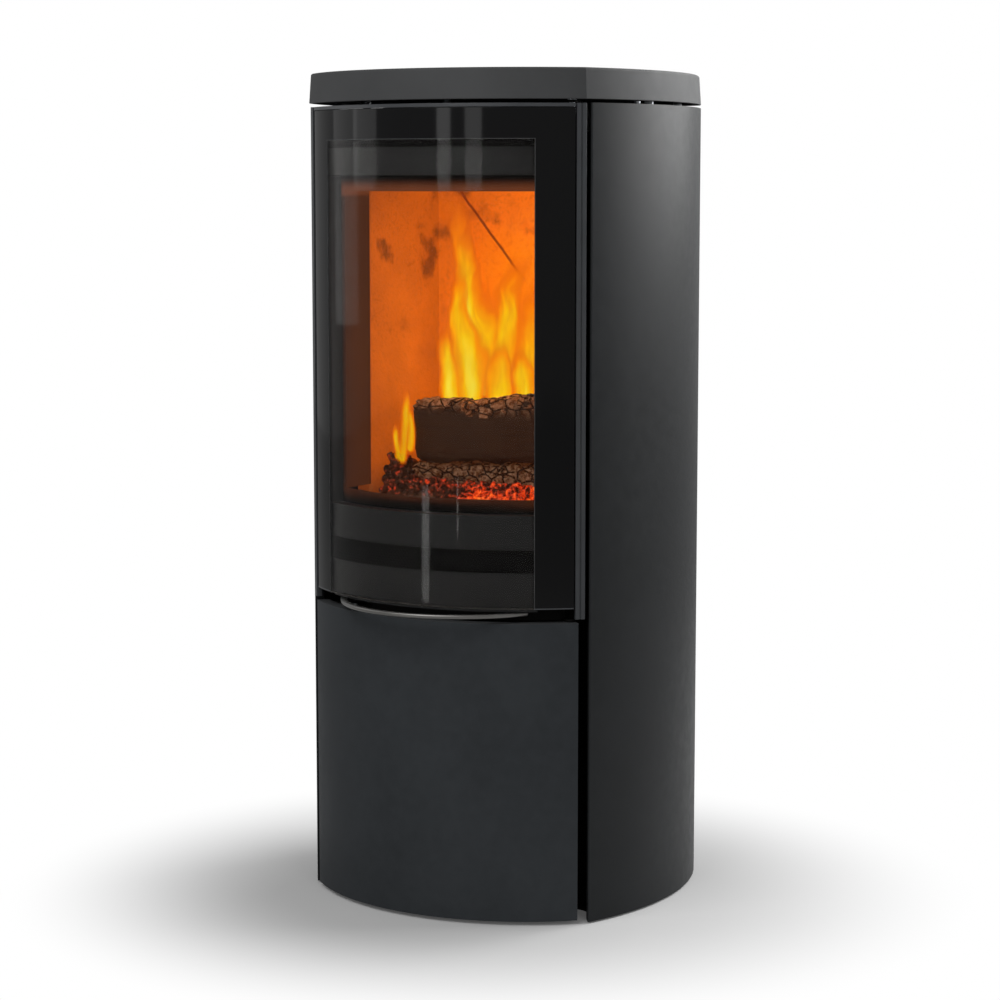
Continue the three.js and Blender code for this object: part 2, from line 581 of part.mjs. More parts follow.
// Vermiculite lining: two side boards, a back board with its air holes, and two hearth bricks
// round the grate.
const CHAMFER = 4;
function sideLiner() {
  const outer = INNER_HALF_WIDTH - SEAT_GAP;
  const inner = outer - LINER_THICKNESS;
  const from = front.jambBack + SEAT_GAP;
  const to = BACK_LINER_FRONT_Y - SEAT_GAP;
  return prism([
    point(inner, from + CHAMFER), point(inner + CHAMFER, from), point(outer, from), point(outer, to),
    point(inner, to),
  ], HEARTH_SHELF_TOP + SEAT_GAP, LINER_TOP);
}
const rightLiner = sideLiner();
add('liner_right', rightLiner, VERMICULITE);
const leftLiner = geometryOf(solid(rightLiner).mirror([1, 0, 0]));
add('liner_left', leftLiner, VERMICULITE);

const JET_RADIUS = 4;
const JET_RISE = 168.7;          // hearth to the air holes
const JET_Z = HEARTH_TOP + JET_RISE;
const JET_PITCH = 45;
function backLiner() {
  const halfWidth = INNER_HALF_WIDTH - SEAT_GAP;
  const board = box(-halfWidth, halfWidth, BACK_LINER_FRONT_Y, INNER_BACK_Y - SEAT_GAP,
    HEARTH_SHELF_TOP + SEAT_GAP, LINER_TOP);
  const jets = [-2, -1, 0, 1, 2].map((place) => (
    boreAlongY(JET_RADIUS, BACK_LINER_FRONT_Y - 5, INNER_BACK_Y + 5, JET_Z, 10)
      .translate(place * JET_PITCH, 0, 0)));
  return cut(board, jets);
}
add('liner_back', backLiner(), VERMICULITE);

const BRICK_JOINT = 0.5;
function hearthBricks() {
  const halfWidth = INNER_HALF_WIDTH - LINER_THICKNESS - 2 * SEAT_GAP;
  const outline = fireboxOutline(BRICK_FRONT_RADIUS, halfWidth, BACK_LINER_FRONT_Y - SEAT_GAP);
  const bottom = HEARTH_SHELF_TOP + SEAT_GAP;
  const grateHole = turned([
    [0, bottom - 1], [GRATE_RADIUS + 1, bottom - 1], [GRATE_RADIUS + 1, bottom + GRATE_THICKNESS + 3],
    [GRATE_RADIUS + 14, HEARTH_TOP + 1], [0, HEARTH_TOP + 1],
  ], 0, GRATE_Y, 32);
  const half = (x0, x1) => (
    box(x0, x1, -BRICK_FRONT_RADIUS - 5, SHELL_BACK_Y, bottom - 1, HEARTH_TOP + 1));
  const slab = prism(outline, bottom, HEARTH_TOP);
  return {
    left: cut(slab, [grateHole, half(-BRICK_JOINT / 2, halfWidth + 1)]),
    right: cut(slab, [grateHole, half(-halfWidth - 1, BRICK_JOINT / 2)]),
  };
}
const bricks = hearthBricks();
add('hearth_brick_left', bricks.left, VERMICULITE);
add('hearth_brick_right', bricks.right, VERMICULITE);

// Steel shelf under the hearth, with the grate's hole.
const GRATE_HOLE_RADIUS = GRATE_RADIUS - 8;
function hearthShelf() {
  const frontRadius = FRONT_PLATE_RADIUS - HEARTH_SHELF_SETBACK;
  const outline = fireboxOutline(frontRadius, INNER_HALF_WIDTH - SEAT_GAP, INNER_BACK_Y - SEAT_GAP);
  const hole = cylinder(GRATE_HOLE_RADIUS, HEARTH_SHELF_BOTTOM - 1, HEARTH_SHELF_TOP + 1,
    0, GRATE_Y, 32);
  return cut(prism(outline, HEARTH_SHELF_BOTTOM, HEARTH_SHELF_TOP), [hole]);
}
add('hearth_shelf', hearthShelf(), INNER_STEEL);

// Cast grate: a fixed ring with a ledge, and a slotted disc that turns on it to shake ash down.
const LEDGE_RADIUS = GRATE_RADIUS - 12;
const DISC_RADIUS = GRATE_RADIUS - 8;
const LEDGE_THICKNESS = 3;
const grateBottom = HEARTH_SHELF_TOP + SEAT_GAP;
const grateTop = grateBottom + GRATE_THICKNESS;
const ledgeTop = grateBottom + LEDGE_THICKNESS;
add('grate_ring', turned([
  [LEDGE_RADIUS, grateBottom], [GRATE_RADIUS, grateBottom], [GRATE_RADIUS, grateTop],
  [DISC_RADIUS + SEAT_GAP, grateTop], [DISC_RADIUS + SEAT_GAP, ledgeTop], [LEDGE_RADIUS, ledgeTop],
], 0, GRATE_Y, 32), CAST_IRON);

const GRATE_SLOTS = 12;
const SLOT_WIDTH = 7;
const SLOT_FROM = 24;            // from the disc's middle
const SLOT_RIM = 9;              // between the slots and the disc's edge
const LUG_RADIUS = 6;
const LUG_HEIGHT = 9;
const GRIP_HALF_LENGTH = 18;
const GRIP_HALF_WIDTH = 3;
const GRIP_HEIGHT = 7;
function grateDisc() {
  const bottom = ledgeTop + SEAT_GAP;
  const disc = cylinder(DISC_RADIUS, bottom, grateTop, 0, 0, 32);
  const slots = Array.from({ length: GRATE_SLOTS }, (_, slot) => (
    box(SLOT_FROM, DISC_RADIUS - SLOT_RIM, -SLOT_WIDTH / 2, SLOT_WIDTH / 2, bottom - 1, grateTop + 1)
      .rotateZ((slot * 2 * Math.PI) / GRATE_SLOTS)));
  const lug = cylinder(LUG_RADIUS, bottom, grateTop + LUG_HEIGHT, 0, 0, 12);
  const handGrip = box(-GRIP_HALF_LENGTH, GRIP_HALF_LENGTH, -GRIP_HALF_WIDTH, GRIP_HALF_WIDTH,
    grateTop - 1, grateTop + GRIP_HEIGHT);
  return join(cut(disc, slots), lug, handGrip).translate(0, GRATE_Y, 0);
}
add('grate_disc', grateDisc(), CAST_IRON);

// Log guard: a bowed angle that keeps wood off the glass.
const GUARD_WALL = 3;
const GUARD_LIP = 11;
const GUARD_BEARING = 33;
function logGuard() {
  const bottom = HEARTH_SHELF_TOP + SEAT_GAP;
  const top = WINDOW_BOTTOM - 3;
  const radius = BRICK_FRONT_RADIUS + SEAT_GAP;
  const bearing = GUARD_BEARING;
  const upright = band(radius, radius + GUARD_WALL, -bearing, bearing, bottom, top);
  const lip = band(radius, radius + GUARD_LIP, -bearing, bearing, top - GUARD_WALL, top);
  return join(upright, lip);
}
add('log_guard', logGuard(), CAST_IRON);

// Air-wash channel over the fire opening, which lets warmed air down behind the glass.
const WASH_SHEET = 2;
const WASH_DEPTH = 17.7;
const WASH_SLOT = 6;             // downwards, behind the front plate
const WASH_BEARING = 36;
const WASH_CLEARANCE = 3;
function airWash() {
  const outer = FRONT_PLATE_INNER - SEAT_GAP;
  const inner = outer - WASH_DEPTH;
  const bearing = WASH_BEARING;
  const bottom = WINDOW_TOP + WASH_CLEARANCE;
  const top = LINER_TOP - WASH_CLEARANCE;
  return join(
    band(inner, inner + WASH_SHEET, -bearing, bearing, bottom, top),
    band(inner, outer, -bearing, bearing, top - WASH_SHEET, top),
    band(inner, outer - WASH_SLOT, -bearing, bearing, bottom, bottom + WASH_SHEET),
  );
}
add('air_wash_channel', airWash(), INNER_STEEL);

// Baffles: a vermiculite board on the liners, and over it a steel deflector on folded legs.
add('baffle_board', box(-INNER_HALF_WIDTH + SEAT_GAP, INNER_HALF_WIDTH - SEAT_GAP, BAFFLE_FRONT_Y,
  INNER_BACK_Y - SEAT_GAP, BAFFLE_BOTTOM, BAFFLE_TOP), VERMICULITE);

const DEFLECTOR_RISE = 20;
const DEFLECTOR_SHEET = 3;
const DEFLECTOR_DEPTH = 170;
const DEFLECTOR_NOSE = 18;
const DEFLECTOR_SIDE_GAP = 6;
function smokeDeflector() {
  const halfWidth = INNER_HALF_WIDTH - DEFLECTOR_SIDE_GAP;
  const bottom = BAFFLE_TOP + SEAT_GAP;
  const top = bottom + DEFLECTOR_RISE;
  const fromY = BAFFLE_FRONT_Y + 5;
  const toY = fromY + DEFLECTOR_DEPTH;
  const sheet = box(-halfWidth, halfWidth, fromY, toY, bottom, top);
  const under = box(-halfWidth + DEFLECTOR_SHEET, halfWidth - DEFLECTOR_SHEET, fromY - 1, toY + 1,
    bottom - 1, top - DEFLECTOR_SHEET);
  const nose = box(-halfWidth, halfWidth, fromY - DEFLECTOR_NOSE, fromY + 1,
    top - DEFLECTOR_SHEET, top);
  return join(cut(sheet, [under]), nose);
}
add('smoke_deflector', smokeDeflector(), INNER_STEEL);

// Ash pan on its shelf, and the sliding air plate that covers the holes in the firebox floor.
const ASH_SHELF_BACK_Y = -20;
const RUNNER_HALF_WIDTH = 1.5;
const RUNNER_HEIGHT = 10;
const RUNNER_FRONT_Y = -200;
function ashShelf() {
  const frontRadius = FRONT_PLATE_RADIUS - ASH_SHELF_SETBACK;
  const outline = fireboxOutline(frontRadius, INNER_HALF_WIDTH - SEAT_GAP, ASH_SHELF_BACK_Y);
  const plate = prism(outline, ASH_SHELF_BOTTOM, ASH_SHELF_TOP);
  const runnerX = ASH_OPENING_HALF_WIDTH + RUNNER_HALF_WIDTH;
  const runner = (x) => box(x - RUNNER_HALF_WIDTH, x + RUNNER_HALF_WIDTH, RUNNER_FRONT_Y,
    ASH_SHELF_BACK_Y - 10, ASH_SHELF_TOP - 0.5, ASH_SHELF_TOP + RUNNER_HEIGHT);
  return join(plate, runner(runnerX), runner(-runnerX));
}
add('ash_shelf', ashShelf(), INNER_STEEL);

const PAN_HALF_WIDTH = 124;
const PAN_FRONT_Y = -222;
const PAN_BACK_Y = -12;
const PAN_SHEET = 1.5;
const PAN_HEIGHT = 56;
const PAN_SLOPE = 6;             // how much each side leans out over its height
const PAN_GRIP_HALF_WIDTH = 30;
const PAN_GRIP_DEPTH = 7;
const PAN_GRIP_SHEET = 2;
const PAN_GRIP_HEIGHT = 10;
function ashPan() {
  const bottom = ASH_SHELF_TOP + SEAT_GAP;
  const top = bottom + PAN_HEIGHT;
  const tray = (inset, low) => {
    const outline = (shrink) => {
      const half = PAN_HALF_WIDTH - shrink;
      const [frontY, backY] = [PAN_FRONT_Y + shrink, PAN_BACK_Y - shrink];
      return [point(-half, frontY), point(half, frontY), point(half, backY), point(-half, backY)];
    };
    return loft([
      { outline: outline(PAN_SLOPE + inset), z: low },
      { outline: outline(inset), z: inset > 0 ? top + 1 : top },
    ]);
  };
  const rootY = PAN_FRONT_Y + PAN_GRIP_SHEET;
  const gripY = PAN_FRONT_Y - PAN_GRIP_DEPTH;
  const gripTop = top - 2;
  const grip = bentSheet([
    point(-PAN_GRIP_HALF_WIDTH, rootY), point(-PAN_GRIP_HALF_WIDTH, gripY),
    point(PAN_GRIP_HALF_WIDTH, gripY), point(PAN_GRIP_HALF_WIDTH, rootY),
  ], PAN_GRIP_SHEET, gripTop - PAN_GRIP_HEIGHT, gripTop);
  return join(cut(tray(0, bottom), [tray(PAN_SHEET, bottom + PAN_SHEET)]), grip);
}
add('ash_pan', ashPan(), INNER_STEEL);

const LEVER_TIP_RADIUS = FRONT_RADIUS - 15;
const SLIDE_HALF_LENGTH = 105;
const SLIDE_HALF_WIDTH = 18;
function airSlide() {
  const bottom = SHELL_FLOOR + SEAT_GAP;
  const top = bottom + AIR_SLIDE_THICKNESS;
  const plate = box(-SLIDE_HALF_LENGTH, SLIDE_HALF_LENGTH, AIR_HOLE_Y - SLIDE_HALF_WIDTH,
    AIR_HOLE_Y + SLIDE_HALF_WIDTH, bottom, top);
  const holes = AIR_HOLES.map((x) => cylinder(AIR_HOLE_RADIUS, bottom - 1, top + 1, x, AIR_HOLE_Y, 16));
  const tipY = -Math.sqrt(LEVER_TIP_RADIUS ** 2 - AIR_LEVER_X ** 2);
  const half = AIR_LEVER_WIDTH / 2;
  const lever = box(AIR_LEVER_X - half, AIR_LEVER_X + half, tipY, AIR_HOLE_Y, bottom, top);
  const bridge = box(AIR_LEVER_X - half, -SLIDE_HALF_LENGTH + 5, AIR_HOLE_Y - SLIDE_HALF_WIDTH,
    AIR_HOLE_Y, bottom, top);
  return { geometry: join(cut(plate, holes), lever, bridge), tipY, bottom, top };
}
const slide = airSlide();
add('air_slide', slide.geometry, INNER_STEEL);

const KNOB_LENGTH = 7;
const KNOB_CHAMFER = 4;
function airKnob() {
  const [left, right] = [AIR_LEVER_X - AIR_LEVER_WIDTH / 2, AIR_LEVER_X + AIR_LEVER_WIDTH / 2];
  const [back, tip] = [slide.tipY - SEAT_GAP, slide.tipY - KNOB_LENGTH];
  const outline = [
    point(left, back), point(left, tip + KNOB_CHAMFER), point(left + KNOB_CHAMFER, tip),
    point(right - KNOB_CHAMFER, tip), point(right, tip + KNOB_CHAMFER), point(right, back),
  ];
  return prism(outline, slide.bottom - 1.5, slide.top + 0.5);
}
add('air_lever_knob', airKnob(), ZINC);

// ---- Hinges ---------------------------------------------------------------------------------
// A flat ear round the hinge line, running back beside the firebox to its root.
const EAR_ROOT_X = SHELL_HALF_WIDTH + SEAT_GAP;
function hingeEar(bottom, top, shoulder) {
  const nose = arcPoints(PIN_X, PIN_Y, HINGE_NOSE, -150, 75, 10);
  return prism([...nose, ...shoulder, point(EAR_ROOT_X, PIN_Y + 8)], bottom, top);
}

function bottomHinge() {
  const bottom = BASE_TOP + SEAT_GAP;
  const top = bottom + HINGE_PLATE;
  const rootBackY = PIN_Y + 55;
  const shoulder = [
    point(PIN_X - 6, PIN_Y + 17), point(PIN_X - 4, PIN_Y + 30), point(PIN_X - 4, rootBackY),
    point(EAR_ROOT_X, rootBackY),
  ];
  const collarTop = LOWER_RETURN_Z - SEAT_GAP;
  const pinTop = LOWER_RETURN_Z + LOWER_DOOR_SHEET + 5;
  const collar = cylinder(PIN_RADIUS + 2.5, top - 0.5, collarTop, PIN_X, PIN_Y, 16);
  const pin = cylinder(PIN_RADIUS, top - 0.5, pinTop, PIN_X, PIN_Y, 16);
  return join(hingeEar(bottom, top, shoulder), collar, pin);
}
add('hinge_bracket_bottom', bottomHinge(), INNER_STEEL);

const MIDDLE_EAR_BOTTOM = LOWER_DOOR_TOP + 0.6;
const UPPER_EAR_TOP = FRAME_BOTTOM - 0.7;
function middleHinge() {
  const webBackY = PIN_Y + 45;
  const shoulder = [point(EAR_ROOT_X + 3, PIN_Y + 14), point(EAR_ROOT_X, PIN_Y + 14)];
  const web = box(EAR_ROOT_X, EAR_ROOT_X + 3, PIN_Y + 8, webBackY, MIDDLE_EAR_BOTTOM, UPPER_EAR_TOP);
  const [pinFrom, pinTo] = [LOWER_DOOR_TOP - 9, FRAME_BOTTOM + PIN_REACH];
  const lowerPin = cylinder(PIN_RADIUS, pinFrom, MIDDLE_EAR_BOTTOM + 0.5, PIN_X, PIN_Y, 16);
  const upperPin = cylinder(PIN_RADIUS, UPPER_EAR_TOP - 0.5, pinTo, PIN_X, PIN_Y, 16);
  return join(
    hingeEar(MIDDLE_EAR_BOTTOM, MIDDLE_EAR_BOTTOM + HINGE_PLATE, shoulder),
    hingeEar(UPPER_EAR_TOP - HINGE_PLATE, UPPER_EAR_TOP, shoulder), web, lowerPin, upperPin,
  );
}
add('hinge_bracket_middle', middleHinge(), INNER_STEEL);

const TOP_EAR_TOP = TOP_EAR_BOTTOM + HINGE_PLATE;
const TOP_FOOT_SIDE = 36;
function topHinge() {
  const [footRight, footLeft] = [SHELL_HALF_WIDTH - 2, SHELL_HALF_WIDTH - 2 - TOP_FOOT_SIDE];
  const footFront = PIN_Y + 17;
  const footBack = footFront + TOP_FOOT_SIDE;
  const ear = prism([
    ...arcPoints(PIN_X, PIN_Y, HINGE_NOSE, -150, 30, 10),
    point(footRight + 4, footBack), point(footLeft, footBack), point(footLeft, footFront),
  ], TOP_EAR_BOTTOM, TOP_EAR_TOP);
  const foot = box(footLeft, footRight, footFront, footBack, SHELL_TOP + SEAT_GAP, TOP_EAR_TOP);
  const hole = cylinder(PIN_RADIUS + SEAT_GAP, TOP_EAR_BOTTOM - 1, TOP_EAR_TOP + 1,
    PIN_X, PIN_Y, 16);
  return cut(join(ear, foot), [hole]);
}
add('hinge_bracket_top', topHinge(), INNER_STEEL);

const PIN_HEAD = 4;
const PIN_HEAD_RADIUS = PIN_RADIUS + 2;
const headBottom = TOP_EAR_TOP + SEAT_GAP;
const headTop = TOP_EAR_TOP + PIN_HEAD;
add('hinge_pin_top', turned([
  [0, FRAME_TOP - PIN_REACH], [PIN_RADIUS, FRAME_TOP - PIN_REACH], [PIN_RADIUS, headBottom],
  [PIN_HEAD_RADIUS, headBottom], [PIN_HEAD_RADIUS, headTop - 1], [PIN_HEAD_RADIUS - 1, headTop],
  [0, headTop],
], PIN_X, PIN_Y, 16), ZINC);

// ---- Glass door -----------------------------------------------------------------------------
// Welded frame: a bowed rail and stile ring with a rope groove and weight pockets in its back.
const FRAME_SKIN = 4;
const FRAME_RIB = 8;
function doorFrame() {
  const frame = bandFrame(FRAME_INNER_RADIUS, FRAME_OUTER_RADIUS, FRAME_BEARING,
    FRAME_BOTTOM, FRAME_TOP, FRAME_WINDOW_BEARING, FRAME_WINDOW_BOTTOM, FRAME_WINDOW_TOP);
  const slack = 0.15;
  const groove = bandFrame(FRAME_INNER_RADIUS - 2, FRAME_INNER_RADIUS + 4, GASKET_TO + slack,
    GASKET_BOTTOM - SEAT_GAP, GASKET_TOP + SEAT_GAP, GASKET_FROM - slack,
    GASKET_BOTTOM + GASKET_WIDTH + SEAT_GAP, GASKET_TOP - GASKET_WIDTH - SEAT_GAP);
  const pocketBearing = GASKET_FROM - 4;
  const pocket = (bottom, top) => band(FRAME_INNER_RADIUS - 1, FRAME_OUTER_RADIUS - FRAME_SKIN,
    -pocketBearing, pocketBearing, bottom, top);
  const pinHole = (from, to) => cylinder(PIN_RADIUS + PIN_CLEARANCE, from, to, PIN_X, PIN_Y, 16);
  return cut(frame, [
    groove, pocket(GASKET_BOTTOM + GASKET_WIDTH + FRAME_RIB, FRAME_WINDOW_BOTTOM - FRAME_RIB),
    pocket(FRAME_WINDOW_TOP + FRAME_RIB, GASKET_TOP - GASKET_WIDTH - FRAME_RIB),
    pinHole(FRAME_BOTTOM - 1, FRAME_BOTTOM + PIN_HOLE_DEPTH),
    pinHole(FRAME_TOP - PIN_HOLE_DEPTH, FRAME_TOP + 1),
  ]);
}
add('door_frame', doorFrame(), FRAME_PAINT);

const doorGlass = band(GLASS_INNER, FRONT_RADIUS, -GLASS_BEARING, GLASS_BEARING,
  GLASS_BOTTOM, GLASS_TOP);
add('door_glass', doorGlass, STOVE_GLASS);
const tapeBottom = GLASS_BOTTOM + TAPE_BOTTOM_MARGIN;
const tapeTop = GLASS_TOP - TAPE_TOP_MARGIN;
add('glass_tape', bandFrame(FRAME_OUTER_RADIUS + SEAT_GAP, GLASS_INNER - SEAT_GAP, TAPE_BEARING,
  tapeBottom, tapeTop, TAPE_BEARING - TAPE_WIDTH_BEARING, tapeBottom + TAPE_WIDTH,
  tapeTop - TAPE_WIDTH), ROPE);
add('door_rope', bandFrame(FRONT_PLATE_RADIUS + SEAT_GAP, FRAME_INNER_RADIUS + 4 - SEAT_GAP,
  GASKET_TO, GASKET_BOTTOM, GASKET_TOP, GASKET_FROM, GASKET_BOTTOM + GASKET_WIDTH,
  GASKET_TOP - GASKET_WIDTH), ROPE);

// Edge strips: two ribs with a shallow groove between them.
function edgeStrip() {
  const inner = FRAME_OUTER_RADIUS + SEAT_GAP;
  const outer = FRONT_RADIUS + STRIP_PROUD;
  const middle = (STRIP_FROM + STRIP_TO) / 2;
  const ribs = [
    [inner, STRIP_FROM], [outer, STRIP_FROM], [outer, middle - 0.2], [FRONT_RADIUS, middle - 0.1],
    [FRONT_RADIUS, middle + 0.1], [outer, middle + 0.2], [outer, STRIP_TO - 0.15],
    [outer - 1, STRIP_TO], [inner, STRIP_TO],
  ];
  const outline = ribs.map(([radius, bearing]) => frontArc(radius, bearing, bearing, 1)[0]);
  return prism(outline.reverse(), STRIP_BOTTOM, STRIP_TOP);
}
const rightStrip = edgeStrip();
add('edge_strip_right', rightStrip, STRIP_PAINT);
const leftStrip = geometryOf(solid(rightStrip).mirror([1, 0, 0]));
add('edge_strip_left', leftStrip, STRIP_PAINT);
add('edge_strip_top', band(FRAME_OUTER_RADIUS + SEAT_GAP, FRONT_RADIUS + 0.5, -GLASS_BEARING,
  GLASS_BEARING, GLASS_TOP + SEAT_GAP, STRIP_TOP), STRIP_PAINT);

// Handle bow, its ends held under a lip that hangs from the frame.
const LIP_BOTTOM = HANDLE_BOTTOM + HANDLE_HEIGHT + SEAT_GAP;
const LIP_THICKNESS = 3;
const LIP_BEARING = 33;
const POST_BEARINGS = [-30, 0, 30];
function handleBracket() {
  const [inner, outer] = [FRAME_INNER_RADIUS + 2, FRAME_OUTER_RADIUS - 2];
  const lipTop = LIP_BOTTOM + LIP_THICKNESS;
  const lip = band(inner, outer, -LIP_BEARING, LIP_BEARING, LIP_BOTTOM, lipTop);
  const posts = POST_BEARINGS.map((bearing) => band(inner, outer - 2, bearing - 2, bearing + 2,
    LIP_BOTTOM + 1, FRAME_BOTTOM - SEAT_GAP, 3));
  return join(lip, ...posts);
}
add('handle_bracket', handleBracket(), FRAME_PAINT);

function doorHandle() {
  const centreY = BAR_FRONT_Y + HANDLE_RADIUS;
  const bow = (radius, from, to) => arcPoints(0, centreY, radius, from - 90, to - 90, 26);
  const inner = HANDLE_RADIUS - HANDLE_DEPTH;
  const outline = (shrink) => [
    ...bow(HANDLE_RADIUS - shrink, -HANDLE_ANGLE, HANDLE_ANGLE),
    ...bow(inner + shrink, HANDLE_ANGLE, -HANDLE_ANGLE),
  ];
  const top = HANDLE_BOTTOM + HANDLE_HEIGHT;
  const soft = 1;
  return loft([
    { outline: outline(soft), z: HANDLE_BOTTOM }, { outline: outline(0), z: HANDLE_BOTTOM + soft },
    { outline: outline(0), z: top - soft }, { outline: outline(soft), z: top },
  ]);
}
add('door_handle', doorHandle(), BRIGHT_STEEL);

// Roller catch: a sprung arm on the firebox's left wall holds a roller against the door's striker.
const CATCH_Z = 700;
const ROLLER_RADIUS = 6.5;
const ROLLER_X = -197;
const ROLLER_SETBACK = 12.6;     // behind the door frame's back at the striker
const ROLLER_HEIGHT = 10;
const ROLLER_ROUND = 0.8;
const AXLE_RADIUS = 2;
const ARM_LENGTH = 37;           // roller to pivot
const ARM_PIVOT_RADIUS = 2.5;
const ARM_HALF_WIDTH = 4.5;
const ARM_PLATE = 2;
const STRIKER_WIDTH = 9.2;
const STRIKER_HALF_HEIGHT = 8;
const BRACKET_HALF_HEIGHT = 14;
const CATCH_PLATE = 3;
const STRIKER_LEFT = ROLLER_X + ROLLER_RADIUS + SEAT_GAP;
const backOfFrame = (x) => -Math.sqrt((FRAME_INNER_RADIUS - SEAT_GAP) ** 2 - x ** 2);
const ROLLER_Y = backOfFrame(STRIKER_LEFT) + ROLLER_SETBACK;
const ARM_PIVOT_Y = ROLLER_Y + ARM_LENGTH;
function catchStriker() {
  const left = STRIKER_LEFT;
  const right = left + STRIKER_WIDTH;
  return prism([
    point(left, backOfFrame(left)), point(left + 0.4, ROLLER_Y + 2), point(left + 3, ROLLER_Y + 7),
    point(right, ROLLER_Y + 7), point(right, backOfFrame(right)),
  ].reverse(), CATCH_Z - STRIKER_HALF_HEIGHT, CATCH_Z + STRIKER_HALF_HEIGHT);
}
add('catch_striker', catchStriker(), ZINC);

function catchBracket() {
  const wallX = -SHELL_HALF_WIDTH - SEAT_GAP;
  const [frontY, backY] = [ARM_PIVOT_Y - 9, ARM_PIVOT_Y + 14];
  const [low, high] = [CATCH_Z - BRACKET_HALF_HEIGHT, CATCH_Z + BRACKET_HALF_HEIGHT];
  const ear = (bottom) => prism([
    point(wallX, frontY), point(wallX, backY), point(ROLLER_X - 2, ARM_PIVOT_Y + 10),
    point(ROLLER_X - 7, ARM_PIVOT_Y), point(ROLLER_X - 2, ARM_PIVOT_Y - 8),
  ].reverse(), bottom, bottom + CATCH_PLATE);
  const wall = box(wallX - CATCH_PLATE, wallX, frontY, backY, low, high);
  const pin = cylinder(ARM_PIVOT_RADIUS, low + 2, high - 2, ROLLER_X, ARM_PIVOT_Y, 12);
  return join(wall, ear(low), ear(high - CATCH_PLATE), pin);
}
add('catch_bracket', catchBracket(), ZINC);

function catchArm() {
  const half = ARM_HALF_WIDTH;
  const length = ARM_PIVOT_Y - ROLLER_Y;
  const plate = (bottom) => prism([
    ...arcPoints(ROLLER_X, ARM_PIVOT_Y, half, 0, 180, 8),
    ...arcPoints(ROLLER_X, ROLLER_Y, half, 180, 360, 8),
  ], bottom, bottom + ARM_PLATE);
  const running = 0.5;
  const low = CATCH_Z - ROLLER_HEIGHT / 2 - running - ARM_PLATE;
  const high = CATCH_Z + ROLLER_HEIGHT / 2 + running;
  const top = high + ARM_PLATE;
  const spine = box(ROLLER_X - half, ROLLER_X + half, ROLLER_Y + length * 0.45,
    ROLLER_Y + length * 0.6, low, top);
  const axle = cylinder(AXLE_RADIUS, low, top, ROLLER_X, ROLLER_Y, 12);
  const bore = cylinder(ARM_PIVOT_RADIUS + SEAT_GAP, low - 1, top + 1, ROLLER_X, ARM_PIVOT_Y, 12);
  return cut(join(plate(low), plate(high), spine, axle), [bore]);
}
add('catch_arm', catchArm(), ZINC);

const rollerLow = CATCH_Z - ROLLER_HEIGHT / 2;
const rollerHigh = CATCH_Z + ROLLER_HEIGHT / 2;
add('catch_roller', turned([
  [AXLE_RADIUS + SEAT_GAP, rollerLow], [ROLLER_RADIUS - ROLLER_ROUND, rollerLow],
  [ROLLER_RADIUS, rollerLow + ROLLER_ROUND], [ROLLER_RADIUS, rollerHigh - ROLLER_ROUND],
  [ROLLER_RADIUS - ROLLER_ROUND, rollerHigh], [AXLE_RADIUS + SEAT_GAP, rollerHigh],
], ROLLER_X, ROLLER_Y, 16), ZINC);

// ---- Lower door -----------------------------------------------------------------------------
// A pan of bent sheet: bowed skin with its edges folded back, the bottom fold set up inside.
function lowerDoor() {
  const bearing = LOWER_DOOR_BEARING;
  const skinInner = FRONT_RADIUS - LOWER_DOOR_SHEET;
  const inner = FRONT_RADIUS - LOWER_DOOR_DEPTH;
  const fold = degrees(LOWER_DOOR_SHEET / FRONT_RADIUS);
  const block = band(inner, FRONT_RADIUS, -bearing, bearing, LOWER_RETURN_Z, LOWER_DOOR_TOP);
  const hollow = band(inner - 1, skinInner, -bearing + fold, bearing - fold,
    LOWER_RETURN_Z + LOWER_DOOR_SHEET, LOWER_DOOR_TOP - LOWER_DOOR_SHEET);
  const skirt = band(skinInner, FRONT_RADIUS, -bearing, bearing, LOWER_DOOR_BOTTOM, LOWER_RETURN_Z + 1);
  const pinHole = (z) => cylinder(PIN_RADIUS + PIN_CLEARANCE, z - 1, z + LOWER_DOOR_SHEET + 1,
    PIN_X, PIN_Y, 16);
  return cut(join(cut(block, [hollow]), skirt), [
    pinHole(LOWER_RETURN_Z), pinHole(LOWER_DOOR_TOP - LOWER_DOOR_SHEET),
  ]);
}
add('lower_door', lowerDoor(), CASING_PAINT);

const MAGNET_Z = 230;
const MAGNET_HALF_HEIGHT = 20;
const MAGNET_BEARINGS = [-36.5, -33];
add('lower_magnet', band(CABINET_FRONT_RADIUS + SEAT_GAP, FRONT_RADIUS - LOWER_DOOR_SHEET - SEAT_GAP,
  ...MAGNET_BEARINGS, MAGNET_Z - MAGNET_HALF_HEIGHT, MAGNET_Z + MAGNET_HALF_HEIGHT, 4), ZINC);

// ---- Casing ---------------------------------------------------------------------------------
// Side panel: one rolled sheet with a folded front edge that turns in beside the doors.
function sidePanel() {
  const start = sideAngleAtY(PANEL_FRONT_Y, SIDE_RADIUS);
  const outline = sideOutline(0, start);
  const tip = outline[0];
  const fold = point(tip.x - PANEL_RETURN * 0.6, tip.y + PANEL_RETURN * 0.8);
  return bentSheet([fold, ...outline], CASING_SHEET, PANEL_BOTTOM, PANEL_TOP);
}
const rightPanel = sidePanel();
add('side_panel_right', rightPanel, CASING_PAINT);
const leftPanel = geometryOf(solid(rightPanel).mirror([1, 0, 0]));
add('side_panel_left', leftPanel, CASING_PAINT);

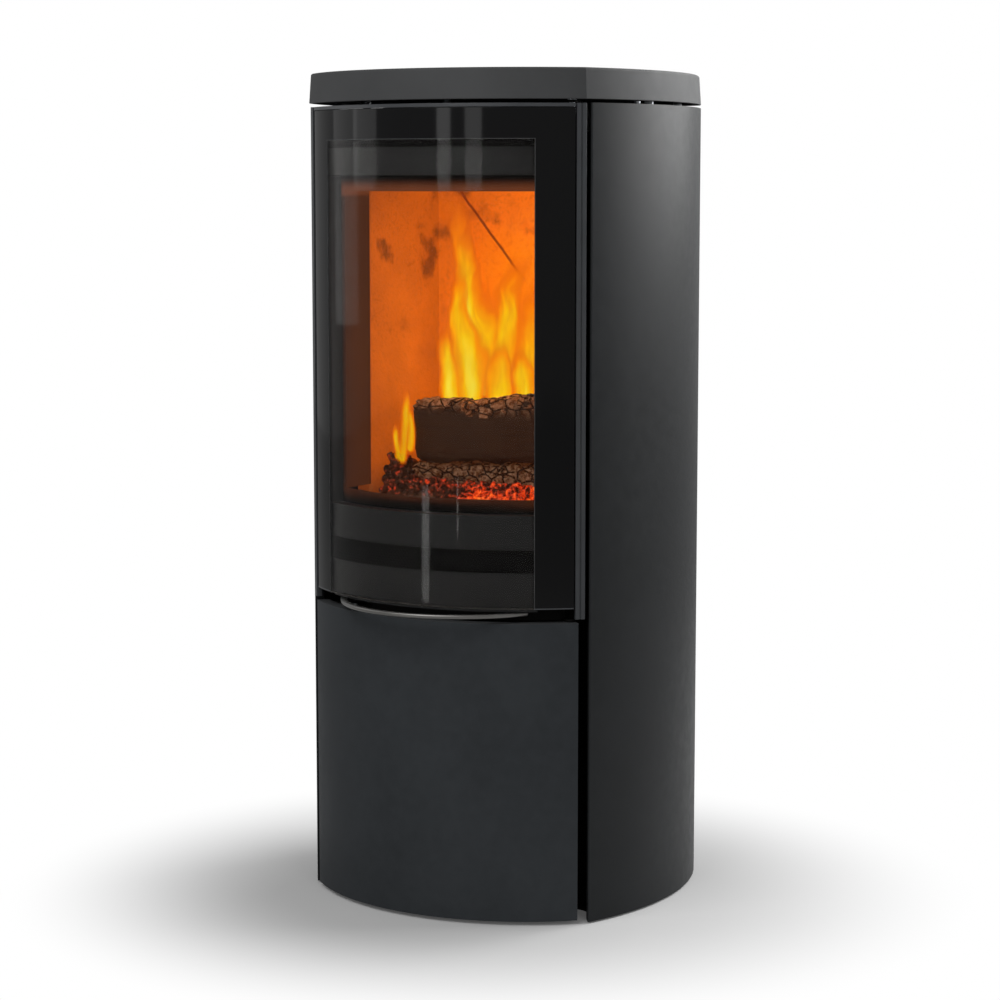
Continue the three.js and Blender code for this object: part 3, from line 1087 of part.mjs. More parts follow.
// Crescent brackets under the top plate tie the panels to the firebox and let warm air pass.
const BRACKET_BOTTOM = SHELL_TOP - 30;
const BRACKET_PLATE = 3;
const BRACKET_FRONT_Y = -172;
const BRACKET_REAR_X = 140;
const VENT_ROWS = [[-150, -95], [-75, -20], [0, 45]];
const VENT_WIDTH = 32;
const VENT_MARGIN = 12;          // from the firebox
function sideBracket() {
  const offset = -CASING_SHEET - SEAT_GAP;
  const start = sideAngleAtY(BRACKET_FRONT_Y, SIDE_RADIUS + offset);
  const outer = sideOutline(offset, start);
  const innerX = SHELL_HALF_WIDTH + SEAT_GAP;
  const behindShell = SHELL_BACK_Y + 8;
  const outline = [
    ...outer, point(BRACKET_REAR_X, outer.at(-1).y), point(BRACKET_REAR_X, behindShell),
    point(innerX, behindShell), point(innerX, BRACKET_FRONT_Y),
  ];
  const ventX = innerX + VENT_MARGIN;
  const vents = VENT_ROWS.map(([from, to]) => box(ventX, ventX + VENT_WIDTH, from, to,
    BRACKET_BOTTOM - 1, BRACKET_BOTTOM + BRACKET_PLATE + 1));
  return cut(prism(outline, BRACKET_BOTTOM, BRACKET_BOTTOM + BRACKET_PLATE), vents);
}
const rightBracket = sideBracket();
add('side_bracket_right', rightBracket, INNER_STEEL);
const leftBracket = geometryOf(solid(rightBracket).mirror([1, 0, 0]));
add('side_bracket_left', leftBracket, INNER_STEEL);

// Back panel between the rear corners, with convection slots and the two pipe holes.
const BACK_SLOT_WIDTH = 8;
const BACK_SLOT_LENGTH = 60;
const BACK_SLOT_PITCH = 22;
const BACK_SLOTS = 6;            // each way from the middle one
const BACK_SLOT_ROWS = [60, 200, 640];
function backPanel() {
  const halfWidth = sideOutline(0, 0).at(-1).x - 1;
  const y = BACK_Y - CASING_SHEET;
  const sheet = box(-halfWidth, halfWidth, y, BACK_Y, BASE_TOP + 4, PANEL_TOP);
  const slots = BACK_SLOT_ROWS.flatMap((bottom) => (
    Array.from({ length: 2 * BACK_SLOTS + 1 }, (_, slot) => {
      const x = (slot - BACK_SLOTS) * BACK_SLOT_PITCH;
      return box(x - BACK_SLOT_WIDTH / 2, x + BACK_SLOT_WIDTH / 2, y - 1, BACK_Y + 1,
        bottom, bottom + BACK_SLOT_LENGTH);
    })));
  return cut(sheet, [
    ...slots, boreAlongY(FLUE_RADIUS + 6, y - 5, BACK_Y + 5, FLUE_Z, 32),
    boreAlongY(AIR_RADIUS + 3, y - 5, BACK_Y + 5, AIR_Z),
  ]);
}
add('back_panel', backPanel(), CASING_PAINT);

// Top plate: a cast tray turned over, drafted sides and a softly rounded upper edge.
function topPlate() {
  const shoulder = 0.3 * TOP_EDGE_ROUND;
  const levels = [
    { outline: casingOutline(0), z: TOP_PLATE_BOTTOM },
    { outline: casingOutline(-TOP_PLATE_DRAFT), z: TOTAL_HEIGHT - TOP_EDGE_ROUND },
    { outline: casingOutline(-TOP_PLATE_DRAFT - shoulder), z: TOTAL_HEIGHT - shoulder },
    { outline: casingOutline(-TOP_PLATE_DRAFT - TOP_EDGE_ROUND), z: TOTAL_HEIGHT },
  ];
  const hollow = prism(casingOutline(-TOP_PLATE_RIM), TOP_PLATE_BOTTOM - 1, TOP_PLATE_CEILING);
  return cut(loft(levels), [hollow]);
}
add('top_plate', topPlate(), CASING_PAINT);

const SPACER_RADIUS = 6;
const SPACER_FLANGE = 3;
const SPACER_FLANGE_HEIGHT = 4;
const SPACER_PLACES = [[222, -60], [-222, -60], [186, 95], [-186, 95]];
SPACER_PLACES.forEach(([x, y], i) => {
  const bottom = BRACKET_BOTTOM + BRACKET_PLATE + SEAT_GAP;
  const top = TOP_PLATE_CEILING - SEAT_GAP;
  const foot = SPACER_RADIUS + SPACER_FLANGE;
  add(`top_spacer_${i + 1}`, turned([
    [0, bottom], [foot, bottom], [foot, bottom + SPACER_FLANGE_HEIGHT],
    [SPACER_RADIUS, bottom + SPACER_FLANGE_HEIGHT], [SPACER_RADIUS, top], [0, top],
  ], x, y, 12), ZINC);
});

export default stove;
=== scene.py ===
"""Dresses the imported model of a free-standing wood stove and sets it in a plain studio.

Sizes are in the millimetres of the part's plan, drawn about the centre of the bowed front, and
Form.place turns them into metres in the model's frame. Lamps, floor and camera are in metres. Every
piece rides on the body that carries it.
"""

import logging
import math
from collections.abc import Iterable, Sequence
from dataclasses import dataclass, field
from enum import Enum

import bmesh
import bpy
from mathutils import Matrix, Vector, noise


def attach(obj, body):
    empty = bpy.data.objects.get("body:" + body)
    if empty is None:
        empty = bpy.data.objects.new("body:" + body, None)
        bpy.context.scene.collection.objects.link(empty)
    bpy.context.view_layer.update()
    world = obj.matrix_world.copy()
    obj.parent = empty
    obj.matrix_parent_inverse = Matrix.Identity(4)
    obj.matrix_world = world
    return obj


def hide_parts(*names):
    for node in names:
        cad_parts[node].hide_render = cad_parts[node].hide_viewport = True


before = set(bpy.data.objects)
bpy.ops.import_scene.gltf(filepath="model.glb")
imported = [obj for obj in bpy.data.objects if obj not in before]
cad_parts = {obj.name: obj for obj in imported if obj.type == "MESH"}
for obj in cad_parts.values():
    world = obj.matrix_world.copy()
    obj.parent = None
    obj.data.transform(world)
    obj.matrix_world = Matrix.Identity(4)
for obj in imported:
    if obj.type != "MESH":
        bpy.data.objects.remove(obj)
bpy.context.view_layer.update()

log = logging.getLogger("stove")

MM = 0.001
PLAN_SHIFT = 86.5
FRONT_RADIUS = 300.0
BEVEL_FROM = 38.0
FLAT_WITHIN = 0.4
SHARP_OVER = 28.0

Plan = tuple[float, float]
Point = tuple[float, float, float]
Colour = tuple[float, float, float]


class Body(Enum):
    """The stove's moving bodies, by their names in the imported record."""

    STOVE = "stove_body"
    GLASS_DOOR = "glass_door"
    LOWER_DOOR = "lower_door"
    AIR_SLIDE = "air_slide"
    ASH_PAN = "ash_pan"
    GRATE = "grate_disc"
    CATCH_ARM = "catch_arm"
    CATCH_ROLLER = "catch_roller"


# ---- Node graphs --------------------------------------------------------------------------------


class Value:
    """A number socket that adds Math nodes to its graph when Python operators are used on it."""

    def __init__(self, graph: "Graph", socket: bpy.types.NodeSocket) -> None:
        """Wraps a socket.

        Args:
            graph: the graph that the socket belongs to.
            socket: the output socket.
        """
        self.graph = graph
        self.socket = socket

    def math(self, operation: str, *others: "Value | float", clamp: bool = False) -> "Value":
        """Adds one Math node.

        Args:
            operation: the Math node's operation.
            others: its second and third values.
            clamp: whether the result is held between 0 and 1.

        Returns:
            The node's result.
        """
        settings = {"operation": operation, "use_clamp": clamp}
        values = {0: self, **{i + 1: other for i, other in enumerate(others)}}
        return self.graph.value("ShaderNodeMath", settings, values)

    def flipped(self, operation: str, other: float) -> "Value":
        """The operation with a plain number as its first value."""
        settings = {"operation": operation}
        return self.graph.value("ShaderNodeMath", settings, {0: other, 1: self})

    def __add__(self, other: "Value | float") -> "Value":
        """Sum."""
        return self.math("ADD", other)

    __radd__ = __add__

    def __sub__(self, other: "Value | float") -> "Value":
        """Difference."""
        return self.math("SUBTRACT", other)

    def __rsub__(self, other: float) -> "Value":
        """Difference from a plain number."""
        return self.flipped("SUBTRACT", other)

    def __mul__(self, other: "Value | float") -> "Value":
        """Product."""
        return self.math("MULTIPLY", other)

    __rmul__ = __mul__

    def __truediv__(self, other: "Value | float") -> "Value":
        """Quotient."""
        return self.math("DIVIDE", other)

    def __pow__(self, other: float) -> "Value":
        """Power."""
        return self.math("POWER", other)

    def held(self) -> "Value":
        """The value held between 0 and 1."""
        return self.math("ADD", 0.0, clamp=True)

    def rise(self, low: float, high: float) -> "Value":
        """A smooth step.

        Args:
            low: where the step is 0.
            high: where it is 1, which may lie below low.

        Returns:
            The step, held between 0 and 1.
        """
        settings = {"interpolation_type": "SMOOTHSTEP", "clamp": True}
        numbers = {"Value": self, "From Min": min(low, high), "From Max": max(low, high)}
        ends = {"To Min": 0.0, "To Max": 1.0} if low < high else {"To Min": 1.0, "To Max": 0.0}
        return self.graph.value("ShaderNodeMapRange", settings, {**numbers, **ends})


class Graph:
    """A node tree with short calls to add nodes to it."""

    def __init__(self, tree: bpy.types.NodeTree) -> None:
        """Wraps an empty node tree."""
        self.tree = tree

    def node(self, kind: str, settings: dict | None = None,
             sockets: dict | None = None) -> bpy.types.Node:
        """Adds a node.

        Args:
            kind: the node's type name.
            settings: properties that are set before the sockets, such as an operation.
            sockets: values or links of the input sockets, by name or place.

        Returns:
            The node.
        """
        node = self.tree.nodes.new(kind)
        for name, setting in (settings or {}).items():
            setattr(node, name, setting)
        for place, given in (sockets or {}).items():
            socket = node.inputs[place]
            if isinstance(given, Value):
                self.tree.links.new(given.socket, socket)
            elif isinstance(given, bpy.types.NodeSocket):
                self.tree.links.new(given, socket)
            elif socket.type == "RGBA" and len(given) == 3:
                socket.default_value = (*given, 1.0)
            else:
                socket.default_value = given
        return node

    def socket(self, kind: str, settings: dict | None = None, sockets: dict | None = None,
               output: str | int = 0) -> bpy.types.NodeSocket:
        """Adds a node and returns one of its outputs."""
        return self.node(kind, settings, sockets).outputs[output]

    def value(self, kind: str, settings: dict | None = None, sockets: dict | None = None,
              output: str | int = 0) -> Value:
        """Adds a node and returns one of its outputs as a number."""
        return Value(self, self.socket(kind, settings, sockets, output))

    def mix(self, factor: "Value | float", first: object, second: object) -> bpy.types.NodeSocket:
        """Mixes two colours, which are sockets or plain colours."""
        settings = {"data_type": "RGBA"}
        return self.socket("ShaderNodeMix", settings, {0: factor, 6: first, 7: second}, output=2)


class SurfaceGraph(Graph):
    """The node tree of a material, with the textures that the stove's finishes share."""

    def __init__(self, name: str) -> None:
        """Makes an empty material.

        Args:
            name: the material's name.
        """
        self.material = bpy.data.materials.new(name)
        self.material.use_nodes = True
        super().__init__(self.material.node_tree)
        self.tree.nodes.clear()
        self.out = self.node("ShaderNodeOutputMaterial")

    def coordinates(self) -> bpy.types.NodeSocket:
        """The coordinates of the object."""
        return self.socket("ShaderNodeTexCoord", output="Object")

    def axes(self, vector: bpy.types.NodeSocket | None = None) -> tuple[Value, Value, Value]:
        """The three parts of a vector, by default of the object coordinates."""
        split = self.node("ShaderNodeSeparateXYZ", None, {0: vector or self.coordinates()})
        return tuple(Value(self, split.outputs[i]) for i in range(3))

    def vector(self, x: "Value | float", y: "Value | float",
               z: "Value | float") -> bpy.types.NodeSocket:
        """A vector of three values."""
        return self.socket("ShaderNodeCombineXYZ", None, {0: x, 1: y, 2: z})

    def bearing(self, centre_y: float = PLAN_SHIFT) -> tuple[Value, Value]:
        """Where a point lies round an upright axis on the middle line.

        Args:
            centre_y: the axis's y in the model's frame, in millimetres.

        Returns:
            The bearing in degrees from straight ahead, and the distance in metres.
        """
        x, y, _ = self.axes()
        ahead = centre_y * MM - y
        turn = x.math("ARCTAN2", ahead) * math.degrees(1)
        away = (x * x + ahead * ahead) ** 0.5
        return turn, away

    def noise(self, scale: float, detail: float = 3.0, roughness: float = 0.55,
              vector: bpy.types.NodeSocket | None = None) -> Value:
        """Noise between 0 and 1.

        Args:
            scale: how fine it is.
            detail: its octaves.
            roughness: how much the finer octaves count.
            vector: what it is read at, by default the object coordinates.

        Returns:
            The noise.
        """
        sockets = {"Vector": vector or self.coordinates(), "Scale": scale, "Detail": detail,
                   "Roughness": roughness}
        return self.value("ShaderNodeTexNoise", None, sockets)

    def cells(self, scale: float, feature: str = "F1",
              vector: bpy.types.NodeSocket | None = None) -> Value:
        """The distance that a Voronoi texture gives."""
        sockets = {"Vector": vector or self.coordinates(), "Scale": scale, "Randomness": 1.0}
        return self.value("ShaderNodeTexVoronoi", {"feature": feature}, sockets, "Distance")

    def upward(self) -> Value:
        """How far the surface faces up, from -1 to 1."""
        return self.axes(self.socket("ShaderNodeNewGeometry", output="Normal"))[2]

    def ramp(self, factor: Value, stops: Sequence[tuple[float, Colour]]) -> bpy.types.NodeSocket:
        """A colour from a row of stops.

        Args:
            factor: where on the row the colour is read.
            stops: the stops' places and colours.

        Returns:
            The colour.
        """
        node = self.node("ShaderNodeValToRGB", None, {0: factor})
        elements = node.color_ramp.elements
        while len(elements) < len(stops):
            elements.new(0.5)
        for element, (place, colour) in zip(elements, stops):
            element.position = place
            element.color = (*colour, 1.0)
        return node.outputs[0]

    def bump(self, height: Value, depth: float) -> bpy.types.NodeSocket:
        """A normal from a height between 0 and 1 that stands for a depth in metres."""
        sockets = {"Height": height, "Distance": depth, "Strength": 1.0}
        return self.socket("ShaderNodeBump", None, sockets)

    def principled(self, sockets: dict) -> bpy.types.NodeSocket:
        """The standard surface shader's output."""
        return self.socket("ShaderNodeBsdfPrincipled", None, sockets)

    def finish(self, shader: bpy.types.NodeSocket) -> bpy.types.Material:
        """Links the shader to the output and returns the material."""
        self.tree.links.new(shader, self.out.inputs["Surface"])
        return self.material


# ---- Finishes -----------------------------------------------------------------------------------


def tinted(colour: Colour, share: float) -> Colour:
    """A colour made lighter or darker by a factor."""
    return tuple(min(1.0, part * share) for part in colour)


class Finish:
    """A surface finish, which draws its shader on an empty graph."""

    name: str

    def shader(self, graph: SurfaceGraph) -> bpy.types.NodeSocket:
        """Draws the shader.

        Args:
            graph: the material's graph.

        Returns:
            The shader's output.
        """
        raise NotImplementedError

    def make(self) -> bpy.types.Material:
        """The finish as a material."""
        graph = SurfaceGraph(self.name)
        return graph.finish(self.shader(graph))


@dataclass(frozen=True)
class StovePaint(Finish):
    """Matt heat-proof paint with a fine grain, soft mottling and a little dust on upward faces."""

    name: str
    colour: Colour
    roughness: float = 0.5
    sheen: float = 0.5
    grain: float = 1500.0
    depth: float = 0.00006
    dust: float = 0.12

    def shader(self, graph: SurfaceGraph) -> bpy.types.NodeSocket:
        """Draws the shader.

        Args:
            graph: the material's graph.

        Returns:
            The shader's output.
        """
        cloudy = graph.noise(7.0, 4.0)
        speckle = graph.noise(self.grain, 2.0)
        patch = graph.noise(60.0, 3.0)
        shade = (cloudy * 0.55 + patch * 0.25 + speckle * 0.2).rise(0.28, 0.72)
        base = graph.mix(shade, tinted(self.colour, 0.84), tinted(self.colour, 1.18))
        flat = graph.upward().rise(0.55, 0.98)
        settled = (flat * (0.35 + graph.noise(90.0, 6.0)) * self.dust).held()
        dusty = graph.mix(settled, base, (0.16, 0.155, 0.145))
        rough = self.roughness + (patch - 0.5) * 0.16 + (speckle - 0.5) * 0.1 + settled * 0.4
        return graph.principled({
            "Base Color": dusty, "Roughness": rough, "Specular IOR Level": self.sheen,
            "Normal": graph.bump(speckle * 0.8 + graph.noise(420.0, 2.0) * 0.2, self.depth),
        })


@dataclass(frozen=True)
class SootedSteel(Finish):
    """Black firebox plate: matt, with soot bloom and rusty-brown heat marks."""

    name: str = "sooted_steel"
    colour: Colour = (0.0028, 0.0027, 0.0026)
    firelit: bool = False
    opening_half: float = 0.148
    opening_foot: float = 0.562
    opening_top: float = 0.964
    jamb_share: float = 0.5
    sill_share: float = 0.3
    firelight: Colour = (0.13, 0.034, 0.011)

    def glow(self, graph: SurfaceGraph) -> bpy.types.NodeSocket:
        """The warm light of the fire on the plate, close round the fire opening.

        Args:
            graph: the material's graph.

        Returns:
            The light's colour.
        """
        x, y, z = graph.axes()
        beside = x.math("ABSOLUTE") - self.opening_half
        above, below = z - self.opening_top, self.opening_foot - z
        level = above.rise(0.016, 0.0) * below.rise(0.016, 0.0)
        jamb = beside.rise(0.014, -0.003) * y.rise(-0.2, -0.11) * level * self.jamb_share
        between = beside.rise(0.02, 0.0)
        lintel = above.rise(0.017, 0.0) * above.rise(-0.012, -0.004) * between
        sill = below.rise(0.01, 0.0) * below.rise(-0.012, -0.004) * between * self.sill_share
        near = jamb.math("MAXIMUM", lintel).math("MAXIMUM", sill)
        uneven = near * (0.75 + graph.noise(22.0, 3.0) * 0.5)
        return graph.mix(uneven.held(), (0.0, 0.0, 0.0), self.firelight)

    def shader(self, graph: SurfaceGraph) -> bpy.types.NodeSocket:
        """Draws the shader.

        Args:
            graph: the material's graph.

        Returns:
            The shader, with the fire's light on it where the plate is firelit.
        """
        lit = {"Emission Color": self.glow(graph), "Emission Strength": 1.0} if self.firelit else {}
        bloom = graph.noise(11.0, 6.0, 0.62).rise(0.42, 0.7)
        heat = graph.noise(5.0, 3.0).rise(0.5, 0.75)
        scale = graph.noise(850.0, 3.0)
        black = graph.mix(bloom, self.colour, (0.006, 0.0058, 0.0056))
        warm = graph.mix(heat * 0.3, black, (0.014, 0.008, 0.005))
        return graph.principled({
            "Base Color": warm, "Roughness": 0.62 + bloom * 0.25 - heat * 0.1,
            "Specular IOR Level": 0.06, "Normal": graph.bump(scale, 0.00003), **lit,
        })


@dataclass(frozen=True)
class CastIron(Finish):
    """Sand-cast iron: pitted, dark, with patches of brown bloom."""

    name: str = "cast_iron"
    colour: Colour = (0.022, 0.021, 0.02)

    def shader(self, graph: SurfaceGraph) -> bpy.types.NodeSocket:
        """Draws the shader.

        Args:
            graph: the material's graph.

        Returns:
            The shader's output.
        """
        pits = graph.cells(520.0)
        sand = graph.noise(900.0, 4.0)
        bloom = graph.noise(26.0, 5.0).rise(0.45, 0.72)
        base = graph.mix(bloom * 0.7, self.colour, (0.05, 0.032, 0.021))
        return graph.principled({
            "Base Color": base, "Metallic": 0.25 + bloom * 0.1, "Roughness": 0.66 + sand * 0.2,
            "Normal": graph.bump(pits * 0.6 + sand * 0.4, 0.00022),
        })


@dataclass(frozen=True)
class BrushedSteel(Finish):
    """Stainless steel brushed along a bow round an upright axis, with handling marks."""

    name: str
    centre_y: float
    colour: Colour = (0.17, 0.166, 0.158)
    roughness: float = 0.3

    def shader(self, graph: SurfaceGraph) -> bpy.types.NodeSocket:
        """Draws the shader.

        Args:
            graph: the material's graph.

        Returns:
            The shader's output.
        """
        turn, away = graph.bearing(self.centre_y)
        height = graph.axes()[2]
        along = graph.vector(turn * 0.04, away * 900.0, height * 900.0)
        brushing = graph.noise(4.0, 6.0, 0.7, along)
        hands = graph.noise(38.0, 4.0).rise(0.4, 0.7)
        base = graph.mix(brushing, tinted(self.colour, 0.78), tinted(self.colour, 1.2))
        return graph.principled({
            "Base Color": base, "Metallic": 1.0,
            "Roughness": self.roughness + (brushing - 0.5) * 0.22 + hands * 0.1,
            "Normal": graph.bump(brushing, 0.00005),
        })


@dataclass(frozen=True)
class Zinc(Finish):
    """Zinc-plated fittings: cool grey spangle with dulled patches."""

    name: str = "zinc_plate"
    colour: Colour = (0.4, 0.42, 0.44)

    def shader(self, graph: SurfaceGraph) -> bpy.types.NodeSocket:
        """Draws the shader.

        Args:
            graph: the material's graph.

        Returns:
            The shader's output.
        """
        spangle = graph.cells(240.0)
        dull = graph.noise(45.0, 5.0).rise(0.4, 0.68)
        base = graph.mix((spangle * 0.6 + dull * 0.5).held(), self.colour, tinted(self.colour, 0.5))
        return graph.principled({
            "Base Color": base, "Metallic": 0.95, "Roughness": 0.3 + dull * 0.25,
            "Normal": graph.bump(spangle, 0.00004),
        })


@dataclass(frozen=True)
class FibreRope(Finish):
    """Braided glass-fibre rope, darkened by smoke."""

    name: str = "fibre_rope"
    dark: Colour = (0.002, 0.0019, 0.0018)
    pale: Colour = (0.006, 0.0058, 0.0055)

    def shader(self, graph: SurfaceGraph) -> bpy.types.NodeSocket:
        """Draws the shader.

        Args:
            graph: the material's graph.

        Returns:
            The shader's output.
        """
        turn, _ = graph.bearing()
        height = graph.axes()[2]
        waves = []
        for sign in (-1.0, 1.0):
            phase = turn * 6.0 + height * (sign * 900.0)
            waves.append(phase.math("SINE") * 0.5 + 0.5)
        braid = waves[0].math("MAXIMUM", waves[1])
        smoke = graph.noise(30.0, 4.0)
        base = graph.mix(braid * 0.6 + smoke * 0.3, self.dark, self.pale)
        return graph.principled({
            "Base Color": base, "Roughness": 0.95, "Specular IOR Level": 0.05,
            "Normal": graph.bump(braid, 0.0003),
        })


@dataclass(frozen=True)
class FireLining(Finish):
    """Pressed vermiculite board in firelight: grains, soot, and painted firelight that fades with
    distance.
    """

    name: str
    # strength, heart and reach set the painted firelight: how bright it is, where it is brightest
    # and how far it reaches.
    strength: float = 1.0
    crack: tuple[Point, Point] | None = None
    heart: Point = (0.01, 0.075, 0.76)
    reach: Point = (0.19, 0.26, 0.30)

    def scratch(self, graph: SurfaceGraph) -> Value:
        """A thin crack between two points of the board's face, given as x and z.

        Args:
            graph: the material's graph.

        Returns:
            1 in the crack and 0 beside it.
        """
        x, _, z = graph.axes()
        (x0, _, z0), (x1, _, z1) = self.crack
        run, rise = (x1 - x0) * MM, (z1 - z0) * MM
        length = math.hypot(run, rise)
        wander = (graph.noise(34.0, 3.0) - 0.5) * 0.006
        right, up = x - x0 * MM, z - z0 * MM
        beside = (right * (rise / length) - up * (run / length) + wander).math("ABSOLUTE")
        along = right * (run / length) + up * (rise / length)
        thin = beside.rise(0.0026, 0.0012)
        return thin * along.rise(length * 1.02, length * 0.75) * along.rise(-0.004, 0.0)

    def shader(self, graph: SurfaceGraph) -> bpy.types.NodeSocket:
        """Draws the shader.

        Args:
            graph: the material's graph.

        Returns:
            The shader's output.
        """
        axes = graph.axes()
        z = axes[2]
        grains = graph.cells(330.0)
        flakes = graph.noise(170.0, 4.0, 0.65)
        cloud = graph.noise(13.0, 5.0, 0.6)
        soot = (graph.noise(17.0, 4.0, 0.5).rise(0.56, 0.72) * z.rise(0.72, 0.86)).held()
        # The emission is painted firelight: brightest at heart, fading over reach, dimmer low down
        # and on soot and dark grains.
        away = [(axis - at) / span for axis, at, span in zip(axes, self.heart, self.reach)]
        far = (away[0] * away[0] + away[1] * away[1] + away[2] * away[2]) ** 0.5
        heat = (1.08 - far * 0.5 + (cloud - 0.5) * 0.32 + (flakes - 0.5) * 0.1).held()
        dark = (soot * 0.5 + (grains.rise(0.5, 0.9) * 0.16)).held()
        low = z.rise(0.60, 0.53) * 0.55
        glow = graph.ramp(heat * (1.0 - dark) * (1.0 - low), [
            (0.0, (0.02, 0.004, 0.001)), (0.3, (0.2, 0.036, 0.004)), (0.52, (0.5, 0.08, 0.002)),
            (0.74, (0.78, 0.125, 0.001)), (0.94, (0.92, 0.2, 0.001)),
        ])
        base = graph.mix(dark, (0.16, 0.08, 0.03), (0.05, 0.02, 0.01))
        height = grains * 0.5 + flakes * 0.5
        if self.crack:
            line = self.scratch(graph)
            glow = graph.mix(line, glow, (0.1, 0.003, 0.0008))
            height = height - line * 0.8
        return graph.principled({
            "Base Color": base, "Roughness": 0.93, "Specular IOR Level": 0.08,
            "Emission Color": glow, "Emission Strength": self.strength,
            "Normal": graph.bump(height, 0.0007),
        })


@dataclass(frozen=True)
class StoveGlass(Finish):
    """Ceramic glass with a black printed border, thin painted highlight lines at its edge and a
    film of use.
    """

    name: str = "stove_glass"
    border_bearing: float = 32.1
    border_top: float = 1030.0
    foot: float = 423.6
    # Width of the painted highlight lines, in millimetres.
    line: float = 0.7

    def shader(self, graph: SurfaceGraph) -> bpy.types.NodeSocket:
        """Draws the shader.

        Args:
            graph: the material's graph.

        Returns:
            A mix of the black print and the clear pane.
        """
        turn, _ = graph.bearing()
        height = graph.axes()[2]
        beside = (turn.math("ABSOLUTE") - self.border_bearing) * (math.radians(1) * FRONT_RADIUS)
        above = height / MM - self.border_top
        past = beside.math("MAXIMUM", above)
        printed = past.rise(-0.3, 0.3)
        # Painted highlights: thin pale lines along the print's inner edge and at the pane's foot,
        # mixed into the print's colour and the haze.
        foot = (height / MM - self.foot).math("ABSOLUTE").rise(self.line * 1.4, self.line * 0.6)
        edge = past.math("ABSOLUTE").rise(self.line, self.line * 0.4).math("MAXIMUM", foot)
        film = graph.noise(9.0, 6.0, 0.65)
        wiped = graph.noise(3.0, 2.0, 0.5, graph.vector(turn * 0.03, 0.0, height * 14.0))
        print_and_highlight_colour = graph.mix(edge, (0.0035, 0.0035, 0.0037), (0.05, 0.052, 0.055))
        enamel = graph.principled({
            "Base Color": print_and_highlight_colour, "Roughness": 0.05 + film * 0.05, "Specular IOR Level": 0.12,
        })
        clear = graph.principled({
            "Base Color": (0.93, 0.92, 0.9), "Roughness": 0.015 + wiped * 0.03,
            "Transmission Weight": 1.0, "IOR": 1.14,
        })
        hazed = graph.principled({
            "Base Color": (0.05, 0.045, 0.04), "Roughness": 0.55, "Specular IOR Level": 0.2,
        })
        # The haze is the film of use, and more along the painted highlight lines.
        haze = (film.rise(0.45, 0.8) * 0.05 + edge * 0.5).held()
        pane = graph.socket("ShaderNodeMixShader", None, {0: haze, 1: clear, 2: hazed})
        return graph.socket("ShaderNodeMixShader", None, {0: printed, 1: pane, 2: enamel})


@dataclass(frozen=True)
class CharredWood(Finish):
    """Split log on the fire: brown side grain low down, checked char and ash above, and painted
    firelight on the char.
    """

    name: str
    char_from: float
    char_to: float
    ash: float = 0.7
    # How bright the painted firelight on the char is.
    glow: float = 0.8

    def shader(self, graph: SurfaceGraph) -> bpy.types.NodeSocket:
        """Draws the shader.

        Args:
            graph: the material's graph.

        Returns:
            The shader's output.
        """
        x, y, z = graph.axes()
        grain = graph.noise(1.0, 6.0, 0.6, graph.vector(x * 9.0, y * 120.0, z * 150.0))
        char = (z / MM + (graph.noise(55.0, 4.0) - 0.5) * 26.0).rise(self.char_from, self.char_to)
        checks = graph.cells(62.0, "DISTANCE_TO_EDGE", graph.vector(x * 0.8, y, z * 1.2))
        crack = checks.rise(0.1, 0.02)
        flecks = graph.noise(150.0, 5.0, 0.7).rise(0.38, 0.6)
        ashy = (flecks * (1.0 - crack) * char * self.ash).held()
        wood = graph.mix(grain, (0.012, 0.005, 0.002), (0.06, 0.026, 0.01))
        burnt = graph.mix(crack, (0.016, 0.009, 0.006), (0.002, 0.0015, 0.001))
        body = graph.mix(char, wood, burnt)
        base = graph.mix(ashy, body, (0.24, 0.15, 0.09))
        # Painted firelight: the char's faces glow warm, less in its cracks.
        lit = graph.mix(char * (1.0 - crack), (0.01, 0.003, 0.001), (0.06, 0.014, 0.002))
        return graph.principled({
            "Base Color": base, "Roughness": 0.85, "Specular IOR Level": 0.2,
            "Emission Color": lit, "Emission Strength": self.glow,
            "Normal": graph.bump(grain * 0.25 + (1.0 - crack) * char, 0.003),
        })


@dataclass(frozen=True)
class Embers(Finish):
    """Glowing coals: red to orange in their cracks, with ash on their backs."""

    name: str = "embers"
    hot: float = 1.0

    def shader(self, graph: SurfaceGraph) -> bpy.types.NodeSocket:
        """Draws the shader.

        Args:
            graph: the material's graph.

        Returns:
            The shader's output.
        """
        fine = graph.noise(130.0, 5.0, 0.7)
        broad = graph.noise(24.0, 2.0)
        x, y, _ = graph.axes()
        front = y.rise(-0.02, -0.065) * x.rise(-0.04, 0.01)
        heat = ((fine - 0.5) * 2.6 + (broad - 0.5) * 1.1 + 0.1 + front * 0.5 * self.hot).held()
        glow = graph.ramp(heat, [
            (0.0, (0.006, 0.0015, 0.0004)), (0.34, (0.03, 0.004, 0.001)),
            (0.58, (0.6, 0.022, 0.001)), (0.8, (1.0, 0.09, 0.004)), (1.0, (1.0, 0.3, 0.02)),
        ])
        ash = graph.mix(fine.rise(0.35, 0.65), (0.012, 0.007, 0.004), (0.075, 0.045, 0.026))
        return graph.principled({
            "Base Color": ash, "Roughness": 0.95, "Specular IOR Level": 0.1,
            "Emission Color": glow, "Emission Strength": 1.0, "Normal": graph.bump(fine, 0.002),
        })


@dataclass(frozen=True)
class Tongue:
    """One tongue of flame, in millimetres: where it starts, its size, its lean and its sway."""

    x: float
    z: float
    height: float
    width: float
    lean: float
    sway: float
    phase: float


